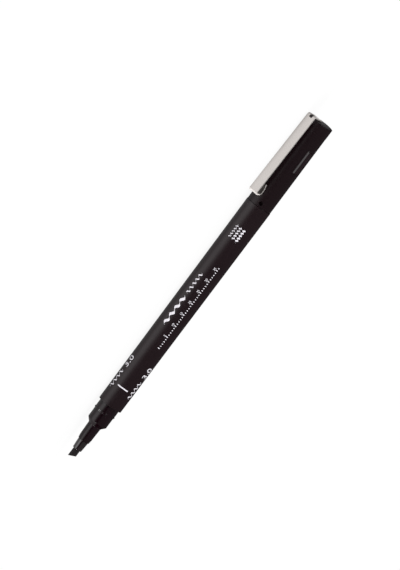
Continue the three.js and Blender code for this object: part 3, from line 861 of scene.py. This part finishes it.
def build_front_section(barrel, holder, finishes):
    """The stepped holder: spigot, neck with its ridge, cone, tube and nose, bored right through."""
    neck = -holder.neck_length
    cone = neck - holder.cone_length
    tube = cone - holder.tube_length
    slim = holder.neck_radius - holder.neck_draft
    bore = holder.collar_spigot + holder.press_fit
    spigot = barrel.bore_radius - holder.press_fit
    ridge = -holder.ridge_setback
    outline = eased(
        (NOSE_FRONT, bore, 0.04 * MM),
        (NOSE_FRONT, holder.nose_radius, 0.1 * MM),
        (tube, holder.tube_front_radius, 0.3 * MM),
        (cone, holder.tube_rear_radius, 0.3 * MM),
        (neck, slim - 0.12 * MM, 0.12 * MM),
        (neck + 0.25 * MM, slim, 0.06 * MM),
        *ridge_rows(holder, ridge, slim, holder.neck_radius),
        (-holder.face_gap, holder.neck_radius, 0.03 * MM),
        (-holder.face_gap, spigot, 0.02 * MM),
        (SPIGOT_REAR, spigot, 0.2 * MM),
        (SPIGOT_REAR, bore, 0.1 * MM),
    )
    grid = turned(outline, even_turns(360), ridge_swell(holder, ridge, holder.pip_height))
    finish = black_plastic("gloss_black", finishes.holder, finishes.holder_roughness, 0.002 * MM)
    add_piece(skin("holder", grid), "pen", "holder_black", finish, "front_section")


def stadium(nib, grow, count):
    """Points of the nib's section, grown by a clearance, as (along its width, along its thickness).
    Two half circles joined by straight sides, walked round from the middle of one half circle."""
    radius = nib.thickness / 2 + grow
    straight = (nib.width - nib.thickness) / 2
    arc, flat = math.pi * radius, 2 * straight
    walk = np.arange(count) / count * (2 * arc + 2 * flat)
    half = walk % (arc + flat)
    turn = half / radius - math.pi / 2
    on_arc = half < arc
    x = np.where(on_arc, straight + radius * np.cos(turn), straight - (half - arc))
    y = np.where(on_arc, radius * np.sin(turn), radius)
    sign = np.where(walk < arc + flat, 1, -1)
    return x * sign, y * sign


def nib_place(nib, station, broad, thick):
    """Row coordinates of a point given along the nib's width and thickness."""
    cosine, sine = math.cos(nib.turn), math.sin(nib.turn)
    return place(station, broad * cosine + thick * sine, broad * sine - thick * cosine)


def build_collar(holder, nib, finishes):
    """The nib's holder: a slim cone with a seam at the nose, whose hole has the nib's own section.
    Each ring is a blend between a circle and that section, which is reached just ahead of the
    hole."""
    count = 144
    broad, thick = stadium(nib, nib.fit, count)
    bearing = np.arctan2(thick, broad)
    seat = NOSE_FRONT - holder.face_gap
    reach = nib.thickness / 2 + nib.fit
    outline = eased(
        (COLLAR_FRONT, reach, 0.1 * MM),
        (COLLAR_FRONT, holder.collar_tip, 0.12 * MM),
        (seat, holder.collar_base, 0.08 * MM),
        (seat, holder.collar_spigot, 0.03 * MM),
        (COLLAR_REAR, holder.collar_spigot, 0.1 * MM),
        (COLLAR_REAR, reach, 0.05 * MM),
    )
    station, radius = outline.T[:, :, None]
    lead = 1.12
    hole = np.clip((holder.collar_tip - radius) / (holder.collar_tip - reach) * lead, 0, 1)
    grow = radius - reach
    wide, tall = broad + grow * np.cos(bearing), thick + grow * np.sin(bearing)
    x = wide * hole + radius * np.cos(bearing) * (1 - hole)
    y = tall * hole + radius * np.sin(bearing) * (1 - hole)
    mesh = skin("collar", nib_place(nib, station, x, y))
    finish = black_plastic(
        "collar_black",
        finishes.holder,
        finishes.collar_roughness,
        0.001 * MM,
        finishes.collar_index,
        coat=1.0,
    )
    add_piece(mesh, "pen", "holder_black", finish, "nib_collar")


def least(first, second, softness):
    """The smaller of two values, with the crease between them rounded."""
    return (first + second - np.sqrt((first - second) ** 2 + softness**2)) / 2


def build_nib(nib, finishes):
    """The chisel nib: its section is carried along the rod, and its half thickness is held under a
    wedge that falls to the writing edge, which is worn to a quarter circle. Stations are sheared,
    so that the edge and both bevels slant together."""
    broad, thick = stadium(nib, 0, 160)
    total = NIB_REAR - NIB_FRONT
    front = total - nib.point_length
    cut = nib.wedge_length * 1.3
    edge_rows = cut * np.linspace(0, 1, 90, endpoint=False) ** 1.5
    rod_rows = np.linspace(cut, front, 12, endpoint=False)
    run = np.concatenate([edge_rows, rod_rows, np.linspace(front, total, 24)])[:, None]
    share = np.clip(1 - run / front, 0, 1)
    station = NIB_FRONT + run + math.tan(nib.slant) * (nib.width / 2 - broad) * share
    depth = run * math.cos(nib.slant)
    gain = (nib.thickness - nib.wedge_thickness) / nib.wedge_length
    wedge = (nib.wedge_thickness + depth * gain) / 2
    foot = (nib.wedge_thickness + nib.chisel_length * gain) / 2
    edge = nib.edge_thickness / 2
    chisel = edge + (foot - edge) * depth / nib.chisel_length
    worn = np.clip(depth / edge, 0, 1)
    tail = edge + (total - run) / nib.point_length * nib.thickness / 2
    room = least(least(wedge, chisel, nib.softness), tail, nib.softness)
    closing = np.clip((total - run) / (0.1 * MM), 0, 1)
    room = room * np.where(run > total / 2, closing, np.sqrt(worn * (2 - worn)))
    half = np.sign(thick) * np.clip(least(np.abs(thick), room, nib.softness), 0, None)
    half = half * (room > 0)
    mesh = skin("chisel_nib", nib_place(nib, station, broad + 0 * run, half), ring=False)
    finish = nib_fibre("ink_soaked_fibre", finishes.fibre)
    add_piece(mesh, "pen", "nib_fibre", finish, "nib")


def build_tail_plug(barrel, holder, finishes):
    """The plug that closes the barrel, with the reduced tail that holds the posted cap."""
    spigot = barrel.bore_radius - holder.press_fit
    slim = holder.neck_radius - holder.neck_draft
    ridge = BARREL_END + holder.ridge_setback
    seat = BARREL_END + holder.face_gap
    pocket = TAIL_END - barrel.plug_floor
    outline = eased(
        (pocket, 0, 0),
        (pocket, barrel.plug_bore, 0.3 * MM),
        (PLUG_FRONT, barrel.plug_bore, 0.1 * MM),
        (PLUG_FRONT, spigot, 0.15 * MM),
        (seat, spigot, 0.02 * MM),
        (seat, holder.neck_radius, 0.04 * MM),
        *ridge_rows(holder, ridge, holder.neck_radius, slim),
        (TAIL_END, slim, 0.3 * MM),
        (TAIL_END, 0, 0),
    )
    grid = turned(outline, even_turns(192), ridge_swell(holder, ridge))
    finish = black_plastic("plug_black", finishes.barrel, finishes.barrel_roughness, 0.003 * MM)
    add_piece(skin("tail", grid, ring=False), "pen", "barrel_black", finish, "tail_plug")


def ramp(value):
    """0 below 0, 1 above 1 and a smooth climb between them."""
    value = np.clip(value, 0, 1)
    return value * value * (3 - 2 * value)


def cap_swell(cap):
    """Height of the cap's relief: a bar with slanting flanks for the rib, less a round bowl for the
    dimple."""
    rib_middle = CAP_MOUTH + cap.rib_setback + cap.rib_length / 2
    straight = (cap.rib_length - cap.rib_width) / 2

    def swell(station, radius, turn):
        off = turn_from(cap.rib_angle, turn) * cap.radius
        along = np.maximum(np.abs(station - rib_middle) - straight, 0)
        inside = cap.rib_width / 2 - np.maximum(along, np.abs(off))
        rib = ramp(inside * cap.rib_slope / cap.rib_height) * cap.rib_height
        off = turn_from(cap.dimple_angle, turn) * cap.radius
        away = np.hypot(station - CAP_MOUTH - cap.dimple_setback, off)
        dimple = ramp((1.1 - away / cap.dimple_radius) * 3.5) * cap.dimple_depth
        outside = radius > cap.radius - 0.1 * MM
        return outside * (rib - dimple)

    return swell


def build_cap_shell(cap, finishes):
    """The cap's tube with its raised rib, its dimple and its slight flare."""
    rib_start = CAP_MOUTH + cap.rib_setback
    rib_end = rib_start + cap.rib_length
    flare = CAP_TOP - cap.flare_length
    step = LINER_FRONT - cap.face_gap
    near, pitch = 0.2 * MM, 0.07 * MM
    dimple = np.arange(near, 2 * cap.dimple_setback, pitch) + CAP_MOUTH
    ends = np.arange(-near, cap.rib_width / 2, pitch)
    rows = np.concatenate([dimple, rib_start + ends, np.sort(rib_end - ends)])
    mouth = CAP_MOUTH - cap.mouth_reach
    outline = eased(
        (mouth, cap.bore_radius + cap.lead, 0.05 * MM),
        (mouth, cap.radius, 0.06 * MM),
        *[(station, cap.radius, 0) for station in rows],
        (flare - 5 * cap.flare, cap.radius, 0.1 * MM),
        (flare + cap.flare, cap.radius + cap.flare, 0.1 * MM),
        (CAP_TOP, cap.radius + cap.flare, 0.07 * MM),
        (CAP_TOP, cap.rear_bore_radius, 0.05 * MM),
        (step, cap.rear_bore_radius, 0.03 * MM),
        (step, cap.bore_radius, 0.03 * MM),
        (CAP_MOUTH + cap.lead, cap.bore_radius, 0.1 * MM),
    )
    turns = closer(even_turns(180), cap.rib_angle, reach=18, step=0.6)
    turns = closer(turns, cap.dimple_angle, reach=10, step=0.8)
    mesh = skin("cap_tube", turned(outline, turns, cap_swell(cap)))
    # This finish paints shade into the dimple and the bore, which lie deeper than the rubbed radius.
    finish = black_plastic(
        "cap_black",
        finishes.cap,
        finishes.barrel_roughness,
        0.006 * MM,
        finishes.cap_index,
        rubbed=cap.radius,
    )
    add_piece(mesh, "cap", "barrel_black", finish, "cap_shell")


def crown_end(cap, under, rim):
    """Outline corners of the crown's end: a superellipse's quarter from the rim to the axis, on a
    low dome."""
    turn = np.linspace(0, TURNS / 4, 25)[1:]
    share = np.append(np.cos(turn[:-1]) ** (2 / cap.crown_power), 0)
    rise = np.sin(turn) ** (2 / cap.crown_power)
    stations = under + cap.crown_thickness * rise + cap.crown_dome * (1 - share**2)
    return [(station, rim * part, 0) for station, part in zip(stations, share)]


def build_crown(cap, clip, finishes):
    """The crown: a rounded end disc on its plug, joined with the boss under the clip, and cut by
    the slot for the clip's root."""
    rim = cap.radius + cap.flare
    plug = cap.rear_bore_radius - cap.press_fit
    under = CROWN_TOP - cap.crown_thickness
    hollow = CROWN_TOP - cap.crown_depth
    front = LINER_REAR + cap.face_gap
    outline = eased(
        (hollow, 0, 0),
        (hollow, plug - cap.crown_wall, 0.3 * MM),
        (front, plug - cap.crown_wall, 0.1 * MM),
        (front, plug, 0.1 * MM),
        (under, plug, 0.03 * MM),
        (under, rim, 0),
        *crown_end(cap, under, rim),
    )
    disc = skin("crown", turned(outline, even_turns(160)), ring=False)
    half = cap.boss_width / 2
    face = cap.radius + clip.top_gap - clip.sheet_gap
    low, high = (CROWN_TOP - cap.boss_length, -half), (CROWN_TOP, half)
    boss = rounded_bar("boss", plug, face, low, high, cap.boss_easing)
    room_radius = rim + cap.face_gap
    room = eased(
        (CAP_MOUTH, 0, 0), (CAP_MOUTH, room_radius, 0), (under, room_radius, 0), (under, 0, 0)
    )
    room = skin("shell_room", turned(room, even_turns(160)), ring=False)
    boss = carved(boss, ("DIFFERENCE", room))
    half = clip.leg_width / 2 + clip.sheet_gap
    low, high = (CROWN_TOP - clip.leg_length - clip.sheet_gap, -half), (CROWN_TOP + MM, half)
    near, far = clip.leg_offset + np.array([-1, 1]) * (clip.thickness / 2 + clip.sheet_gap)
    slot = rounded_bar("slot", near, far, low, high, 0.02 * MM)
    mesh = carved(disc, ("UNION", boss), ("DIFFERENCE", slot))
    finish = black_plastic("crown_matt", finishes.crown, finishes.crown_roughness, 0.006 * MM)
    add_piece(mesh, "cap", "crown_black", finish, "cap_crown")


def bent(corners, steps=8):
    """A line through (across, station, bend radius) corners, with a circular arc at each bend and a
    plain point where the radius is 0."""
    spots = np.array([corner[:2] for corner in corners])
    line = []
    for i, (_, _, radius) in enumerate(corners):
        if radius == 0:
            line.append(spots[i : i + 1])
            continue
        back, ahead = spots[i - 1] - spots[i], spots[i + 1] - spots[i]
        back, ahead = back / np.linalg.norm(back), ahead / np.linalg.norm(ahead)
        half = math.acos(back @ ahead) / 2
        bisector = (back + ahead) / np.linalg.norm(back + ahead)
        centre = spots[i] + bisector * radius / math.sin(half)
        first = spots[i] + back * radius / math.tan(half) - centre
        last = spots[i] + ahead * radius / math.tan(half) - centre
        sweep = math.atan2(first[0] * last[1] - first[1] * last[0], first @ last)
        turn = np.linspace(0, sweep, steps + 1)
        x = first[0] * np.cos(turn) - first[1] * np.sin(turn)
        y = first[0] * np.sin(turn) + first[1] * np.cos(turn)
        line.append(centre + np.stack([x, y], -1))
    return np.vstack(line)


def build_clip(cap, clip, finishes):
    """The clip: one strip of sheet bent along a line, its root narrower and its bend pierced by a
    window. Cells of the sheet's grid are left out there; the sheet then gets its thickness."""
    tab = CROWN_TOP + clip.sheet_gap + clip.thickness / 2
    top = cap.radius + clip.top_gap + clip.thickness / 2
    end = cap.radius + clip.end_gap + clip.thickness / 2
    lip = cap.radius + clip.lip_gap + clip.thickness / 2
    free = CAP_MOUTH + clip.setback
    inner = top + clip.thickness / 2 - clip.window_depth
    shoulder = clip.leg_offset + clip.thickness / 2 + clip.sheet_gap
    drop = CROWN_TOP + clip.sheet_gap + clip.thickness - clip.window_drop
    share = (tab - drop) / (tab - free)
    line = bent([
        (clip.leg_offset, CROWN_TOP - clip.leg_length, 0),
        (clip.leg_offset, tab, clip.leg_bend),
        (shoulder, tab, 0),
        (inner, tab, 0),
        (top, tab, clip.top_bend),
        (top + (end - top) * share, drop, 0),
        (end, free, clip.fold_bend),
        (lip, free + clip.toe_rise, clip.toe_bend),
        (lip, free + clip.heel_rise, clip.heel_bend),
        (lip + clip.lip_lift, free + clip.lip_rise, 0),
    ])
    across, station = line.T
    halves = np.array([clip.window_width / 2, clip.leg_width / 2, clip.width / 2])
    side = np.concatenate([-halves[::-1], halves])
    points = place(station[:, None], across[:, None], side[None, :])
    run = np.arange(len(line))
    root = run[:-1] < np.flatnonzero(np.isclose(across, shoulder))[0]
    window = np.zeros(len(run) - 1, bool)
    first = np.flatnonzero(np.isclose(across, inner) & np.isclose(station, tab))[0]
    window[first : np.flatnonzero(np.isclose(station, drop))[0]] = True
    outer_column = np.array([1, 0, 0, 0, 1], bool)
    middle_column = np.array([0, 0, 1, 0, 0], bool)
    keep = ~(root[:, None] & outer_column) & ~(window[:, None] & middle_column)
    index = np.arange(points.shape[0] * points.shape[1]).reshape(points.shape[:2])
    quads = np.stack([index[:-1, :-1], index[:-1, 1:], index[1:, 1:], index[1:, :-1]], -1)
    used, quads = np.unique(quads[keep], return_inverse=True)
    points, quads = points.reshape(-1, 3)[used], quads.reshape(-1, 4).tolist()
    mesh = tidied("clip_strip", points, quads, closed=False)
    inside = end - clip.fold_bend - clip.thickness / 2
    finish = sheet_steel("satin_steel", finishes, clip.width / 2, free, inside)
    piece = add_piece(mesh, "clip", "clip_steel", finish, "clip")
    wall = piece.modifiers.new("sheet", "SOLIDIFY")
    wall.thickness = clip.thickness
    wall.offset = 0
    wall.use_even_offset = True
    edge = piece.modifiers.new("tumbled_edges", "BEVEL")
    edge.width = clip.edge_easing
    edge.segments = 3
    edge.limit_method = "ANGLE"
    edge.angle_limit = math.radians(40)


def barrel_radius(barrel, station):
    """The barrel's outer radius at a station, along its straight taper."""
    return barrel.front_radius + (barrel.rear_radius - barrel.front_radius) * station / BARREL_END


def rows_of(elements, attribute):
    """A vector attribute of a mesh's elements, as an array's rows."""
    values = np.empty(len(elements) * 3)
    elements.foreach_get(attribute, values)
    return values.reshape(-1, 3)


def add_print(name, flat, barrel, settings, station, turn, finish):
    """A flat mesh in metres wrapped round the barrel. Its X runs along the pen from the station,
    and its Y runs back towards the clip from the angle. The ink gets a thin wall of its own."""
    made = bmesh.new()
    made.from_mesh(flat)
    bmesh.ops.remove_doubles(made, verts=made.verts, dist=MERGE)
    rows = rows_of(flat.vertices, "co")[:, 1]
    for cut in np.arange(rows.min(), rows.max(), SLICE)[1:]:
        everything = [*made.verts, *made.edges, *made.faces]
        bmesh.ops.bisect_plane(made, geom=everything, plane_co=(0, cut, 0), plane_no=(0, 1, 0))
    bmesh.ops.triangulate(made, faces=made.faces)
    made.to_mesh(flat)
    made.free()
    x, y, _ = rows_of(flat.vertices, "co").T
    radius = barrel_radius(barrel, station + x)
    wrapped = around(station + x, radius + settings.lift, turn - y / radius)
    flat.vertices.foreach_set("co", wrapped.ravel())
    flat.update()
    flat.name = name
    outward = rows_of(flat.polygons, "center") - AXIS_POINT
    if (rows_of(flat.polygons, "normal") * outward)[:, 1:].sum() < 0:
        flat.flip_normals()
    piece = add_piece(flat, "pen", "print_white", finish)
    wall = piece.modifiers.new("ink", "SOLIDIFY")
    wall.thickness = settings.ink_thickness
    wall.offset = -1


def lettering(text, height, long=None):
    """Numerals as a slightly bold flat mesh, scaled to a height, and to a length if one is given.
    They start at X 0 and are centred on Y 0."""
    curve = bpy.data.curves.new("numerals", "FONT")
    curve.body = text
    curve.offset = 0.005
    curve.resolution_u = 6
    holder = add_object("numerals", curve)
    depsgraph = bpy.context.evaluated_depsgraph_get()
    flat = bpy.data.meshes.new_from_object(holder.evaluated_get(depsgraph))
    bpy.data.objects.remove(holder)
    spots = rows_of(flat.vertices, "co")
    low, high = spots.min(0), spots.max(0)
    scale = height / (high[1] - low[1])
    wide = long / (high[0] - low[0]) if long else scale
    spots = (spots - (low[0], (low[1] + high[1]) / 2, 0)) * (wide, scale, 1)
    flat.vertices.foreach_set("co", spots.ravel())
    return flat


def flat_mesh(points, quads):
    """A flat mesh from X and Y points and quads."""
    flat = bpy.data.meshes.new("flat")
    points = np.column_stack([points, np.zeros(len(points))])
    flat.from_pydata(points.tolist(), [], quads.tolist())
    return flat


def bars(starts, ends, lows, highs):
    """Flat bars, each from a start to an end along X and from low to high along Y."""
    sides = np.broadcast_arrays(*map(np.atleast_1d, (starts, ends, lows, highs)))
    starts, ends, lows, highs = sides
    corners = [(starts, lows), (ends, lows), (ends, highs), (starts, highs)]
    points = np.stack([np.stack(corner, -1) for corner in corners], 1)
    return flat_mesh(points.reshape(-1, 2), np.arange(len(points) * 4).reshape(-1, 4))


def chisel_wave(long, swing, waves, edge, slope, steps=24):
    """The mark of a chisel edge held at a fixed slope while it travels along a sine: at each point
    the ink spans the edge's length, so the line is broad on the way down and thin on the way up.
    Each wave is drawn in the given number of steps."""
    t = np.linspace(0, 1, waves * steps + 1)
    path = np.stack([long * t, swing * np.sin(t * waves * TURNS)], -1)
    reach = np.array([math.cos(slope), math.sin(slope)]) * edge / 2
    points = np.stack([path - reach, path + reach], 1).reshape(-1, 2)
    row = np.arange(len(t) - 1)[:, None] * 2
    return flat_mesh(points, row + np.array([0, 2, 3, 1]))


def build_print(barrel, settings, finishes):
    """The white print: a bar, the edge's size twice, sample strokes and a millimetre scale."""
    finish = printed_ink("white_ink", finishes.ink)

    def put(name, flat, station, turn):
        add_print(name, flat, barrel, settings, station, turn, finish)

    def stroke(long, swing, waves, edge):
        return chisel_wave(long, swing, waves, edge, settings.edge_slope)

    radius = barrel_radius(barrel, settings.bar_station)
    half = (settings.bar_end - settings.bar_start) / 2 * radius
    bar = bars(0, settings.bar_width, -half, half)
    middle = (settings.bar_start + settings.bar_end) / 2
    put("print_bar", bar, settings.bar_station - settings.bar_width / 2, middle)
    for side, turn in (("left", settings.left_angle), ("right", settings.right_angle)):
        size = lettering(settings.numerals, settings.numeral_height, settings.numeral_length)
        put(f"print_size_{side}", size, settings.numeral_station, turn)
        mark = stroke(settings.mark_length, settings.mark_swing, waves=4, edge=settings.mark_edge)
        put(f"print_stroke_{side}", mark, settings.mark_station, turn)
    whole = settings.wave_end - settings.wave_start
    half = whole * settings.broad_share
    broad = stroke(half, settings.wave_swing, waves=4, edge=settings.broad_edge)
    put("print_wave_broad", broad, settings.wave_start, settings.wave_angle)
    rest = whole - half - settings.wave_gap
    fine = stroke(rest, settings.wave_swing, waves=5, edge=settings.fine_edge)
    put("print_wave_fine", fine, settings.wave_end - rest, settings.wave_angle)
    marks = np.arange(settings.rule_length + 1)
    tall = np.where(marks % 5 == 0, settings.long_tick, settings.short_tick)
    line, foot = settings.tick_width / 2, -settings.long_tick
    ticks = bars(marks * MM - line, marks * MM + line, foot, foot + tall)
    put("print_rule", ticks, settings.rule_start, settings.rule_angle)
    for mark in marks[5::5]:
        numeral = lettering(str(mark), settings.long_tick)
        left = mark * MM - rows_of(numeral.vertices, "co")[:, 0].max() / 2
        turn = settings.rule_angle - settings.count_rise / radius
        put(f"print_rule_{mark}", numeral, settings.rule_start + left, turn)
    for row, edge in enumerate(settings.sample_edges):
        turn = settings.samples_angle + (row - 1) * settings.samples_pitch
        sample = stroke(settings.samples_length, settings.samples_swing, waves=5, edge=edge)
        put(f"print_sample_{row + 1}", sample, settings.samples_start, turn)


def dress_inner_parts(finishes):
    """Gives the CAD nodes that stay inside the pen their materials."""
    dressings = {
        "cap_liner": pale_plastic("natural_liner", finishes.liner),
        "ink_reservoir": wet_core("inked_core", finishes.fibre),
        "reservoir_film": clear_film("clear_sleeve", finishes.film),
    }
    for node, finish in dressings.items():
        paint(frame["nodes"][node].data, finish)


def build_stage(stage):
    """The floor, the room's light, the lamps and the camera."""
    scene = bpy.context.scene
    scene.view_settings.view_transform = "Standard"
    build_floor(stage)
    build_room(stage)
    for name, (way, distance, width, height, power, reflected) in LAMPS.items():
        lamp = bpy.data.lights.new(name, "AREA")
        lamp.shape = "RECTANGLE"
        lamp.size, lamp.size_y = width, height
        lamp.energy = power * stage.lamp_strength
        holder = add_object(name, lamp)
        way = Vector(way).normalized()
        holder.location = way * distance
        holder.rotation_euler = way.to_track_quat("Z", "Y").to_euler()
        holder.visible_camera = False
        holder.visible_glossy = reflected
    add_camera(stage)


def build_floor(stage):
    """A flat round floor. To the eye most of it is plain white, and the rest takes light and shadow. In
    reflections it glows as a painted reflection: white in a strip on each side of the pen, dimmer under the pen as
    a painted contact shadow, and dimmer far away as painted shade."""
    turn = even_turns(128)
    rim = np.stack([np.cos(turn), np.sin(turn), 0 * turn], -1) * stage.floor_radius
    mesh = bpy.data.meshes.new("floor")
    mesh.from_pydata(rim.tolist(), [], [list(range(len(rim)))])
    nodes = material("pale_floor")
    direct, bounced = nodes.rays()
    factor = direct * stage.whiteness + (1 - direct) * bounced
    # Painted reflection: the floor's glow in reflections is white in a strip beside the pen, dimmed close to the
    # pen as a painted contact shadow and far off as painted shade.
    away = (nodes.split(nodes.spot(), "Y") - AXIS_POINT[1]).size()
    near = away.above(stage.lit_from / 2, stage.lit_from)
    painted_contact_shadow = stage.near_floor + near * (1 - stage.near_floor)
    far = 1 - away.above(stage.lit_from * 1.6, stage.lit_until) * (1 - stage.far_floor)
    strength = direct + (1 - direct) * painted_contact_shadow * far * stage.mirrored
    paper = nodes.noise(stage.floor_mottle, 2)
    tone = nodes.tint(paper, stage.floor_colour, 0.99)
    matt = nodes.node("BsdfDiffuse", None, {"Color": tone})
    white = nodes.node("Emission", None, {"Color": (1, 1, 1, 1), "Strength": strength})
    ends = {0: factor, 1: matt.outputs[0], 2: white.outputs[0]}
    mix = nodes.node("MixShader", None, ends)
    nodes.node("OutputMaterial", None, {"Surface": mix.outputs[0]})
    mesh.materials.append(nodes.owner)
    floor = add_object("floor", mesh)


def build_room(stage):
    """The room: white to the eye, dark at the horizon and dim overhead in reflections, and even
    soft light on matt surfaces."""
    nodes = Nodes(bpy.data.worlds.new("studio"))
    bpy.context.scene.world = nodes.owner
    height = nodes.split(nodes.node("TexCoord").outputs["Generated"], "Z")
    direct, bounced = nodes.rays()
    reflected = height.above(stage.ceiling_foot, stage.ceiling_full) * stage.ceiling
    strength = direct + (1 - direct) * (bounced * reflected + (1 - bounced) * stage.ambient)
    white = {"Color": (1, 1, 1, 1), "Strength": strength}
    background = nodes.node("Background", None, white)
    nodes.node("OutputWorld", None, {"Surface": background.outputs[0]})


def add_camera(stage):
    """The camera looks from its height and turn, rolled until the pen rises at its slope, and is
    moved over so that the aim station lies on the aim pixel."""
    height, turn, slope = stage.camera_height, stage.camera_turn, stage.pen_slope
    level = Vector((math.sin(turn), math.cos(turn), 0))
    back = level * math.cos(height) + Vector((0, 0, math.sin(height)))
    along = Vector(ALONG)
    along = (along - back * along.dot(back)).normalized()
    beside = back.cross(along)
    right = along * math.cos(slope) - beside * math.sin(slope)
    up = along * math.sin(slope) + beside * math.cos(slope)
    over = (AIM_X - PICTURE_WIDTH / 2) * PIXEL
    above = (PICTURE_HEIGHT / 2 - AIM_Y) * PIXEL
    aim = Vector(place(np.array(stage.aim_station), 0, 0)) - right * over - up * above
    lens = bpy.data.cameras.new("camera")
    lens.sensor_width = SENSOR
    lens.lens = SENSOR * stage.camera_distance / (PICTURE_HEIGHT * PIXEL)
    lens.clip_start, lens.clip_end = 0.05, 50
    camera = add_object("camera", lens)
    facing = Matrix((right, up, back)).transposed().to_4x4()
    camera.matrix_world = Matrix.Translation(aim + back * stage.camera_distance) @ facing
    bpy.context.scene.camera = camera


class PEN_OT_stage(bpy.types.Operator):
    """Add the floor, the lamps, the room and the camera"""

    bl_idname = "pen.stage"
    bl_label = "Stage"

    def execute(self, context):
        build_stage(context.scene.pen_stage)
        return {"FINISHED"}


class PEN_OT_barrel(bpy.types.Operator):
    """Build the tapered barrel"""

    bl_idname = "pen.barrel"
    bl_label = "Barrel"

    def execute(self, context):
        scene = context.scene
        build_barrel(scene.pen_barrel, scene.pen_finishes)
        return {"FINISHED"}


class PEN_OT_front_section(bpy.types.Operator):
    """Build the stepped holder at the front"""

    bl_idname = "pen.front_section"
    bl_label = "Front section"

    def execute(self, context):
        scene = context.scene
        build_front_section(scene.pen_barrel, scene.pen_holder, scene.pen_finishes)
        return {"FINISHED"}


class PEN_OT_collar(bpy.types.Operator):
    """Build the collar that holds the nib"""

    bl_idname = "pen.collar"
    bl_label = "Nib collar"

    def execute(self, context):
        scene = context.scene
        build_collar(scene.pen_holder, scene.pen_nib, scene.pen_finishes)
        return {"FINISHED"}


class PEN_OT_nib(bpy.types.Operator):
    """Build the chisel nib"""

    bl_idname = "pen.nib"
    bl_label = "Nib"

    def execute(self, context):
        scene = context.scene
        build_nib(scene.pen_nib, scene.pen_finishes)
        return {"FINISHED"}


class PEN_OT_tail_plug(bpy.types.Operator):
    """Build the tail that holds the posted cap"""

    bl_idname = "pen.tail_plug"
    bl_label = "Tail plug"

    def execute(self, context):
        scene = context.scene
        build_tail_plug(scene.pen_barrel, scene.pen_holder, scene.pen_finishes)
        return {"FINISHED"}


class PEN_OT_cap_shell(bpy.types.Operator):
    """Build the cap's tube with its rib and dimple"""

    bl_idname = "pen.cap_shell"
    bl_label = "Cap shell"

    def execute(self, context):
        scene = context.scene
        build_cap_shell(scene.pen_cap, scene.pen_finishes)
        return {"FINISHED"}


class PEN_OT_crown(bpy.types.Operator):
    """Build the crown that closes the cap and holds the clip"""

    bl_idname = "pen.crown"
    bl_label = "Cap crown"

    def execute(self, context):
        scene = context.scene
        build_crown(scene.pen_cap, scene.pen_clip, scene.pen_finishes)
        return {"FINISHED"}


class PEN_OT_clip(bpy.types.Operator):
    """Build the sheet-steel clip"""

    bl_idname = "pen.clip"
    bl_label = "Clip"

    def execute(self, context):
        scene = context.scene
        build_clip(scene.pen_cap, scene.pen_clip, scene.pen_finishes)
        return {"FINISHED"}


class PEN_OT_print(bpy.types.Operator):
    """Print the bar, numerals, strokes and scale on the barrel"""

    bl_idname = "pen.print"
    bl_label = "Print"

    def execute(self, context):
        scene = context.scene
        build_print(scene.pen_barrel, scene.pen_print, scene.pen_finishes)
        return {"FINISHED"}


class PEN_OT_inner_parts(bpy.types.Operator):
    """Give the liner, the reservoir and its film their materials"""

    bl_idname = "pen.inner_parts"
    bl_label = "Inner parts"

    def execute(self, context):
        dress_inner_parts(context.scene.pen_finishes)
        return {"FINISHED"}


OPERATORS = (
    PEN_OT_stage, PEN_OT_barrel, PEN_OT_front_section, PEN_OT_collar, PEN_OT_nib, PEN_OT_tail_plug,
    PEN_OT_cap_shell, PEN_OT_crown, PEN_OT_clip, PEN_OT_print, PEN_OT_inner_parts,
)
GROUPS = {
    "pen_barrel": PenBarrelSizes,
    "pen_holder": PenHolderSizes,
    "pen_nib": PenNibSizes,
    "pen_cap": PenCapSizes,
    "pen_clip": PenClipSizes,
    "pen_print": PenPrintSettings,
    "pen_finishes": PenFinishes,
    "pen_stage": PenStageSettings,
}


class PEN_PT_sidebar(bpy.types.Panel):
    """Lists the pen's pieces and their settings"""

    bl_idname = "PEN_PT_sidebar"
    bl_label = "Calligraphy Pen"
    bl_space_type = "VIEW_3D"
    bl_region_type = "UI"
    bl_category = "Pen"

    def draw(self, context):
        for operator in OPERATORS:
            self.layout.operator(operator.bl_idname)
        for name, group in GROUPS.items():
            box = self.layout.box()
            box.label(text=name.replace("_", " ").capitalize())
            for setting in group.__annotations__:
                box.prop(getattr(context.scene, name), setting)


def register():
    """Adds the groups of settings, the operators and the panel to Blender."""
    for made in (*GROUPS.values(), *OPERATORS, PEN_PT_sidebar):
        bpy.utils.register_class(made)
    for name, group in GROUPS.items():
        setattr(bpy.types.Scene, name, bpy.props.PointerProperty(type=group))


def unregister():
    """Removes the settings, the panel, the operators and the groups from Blender."""
    for name in GROUPS:
        delattr(bpy.types.Scene, name)
    for made in reversed((*GROUPS.values(), *OPERATORS, PEN_PT_sidebar)):
        bpy.utils.unregister_class(made)


def main():
    register()
    bpy.ops.pen.stage()
    bpy.ops.pen.barrel()
    bpy.ops.pen.front_section()
    bpy.ops.pen.collar()
    bpy.ops.pen.nib()
    bpy.ops.pen.tail_plug()
    bpy.ops.pen.cap_shell()
    bpy.ops.pen.crown()
    bpy.ops.pen.clip()
    bpy.ops.pen.print()
    bpy.ops.pen.inner_parts()


if __name__ == "__main__":
    main()
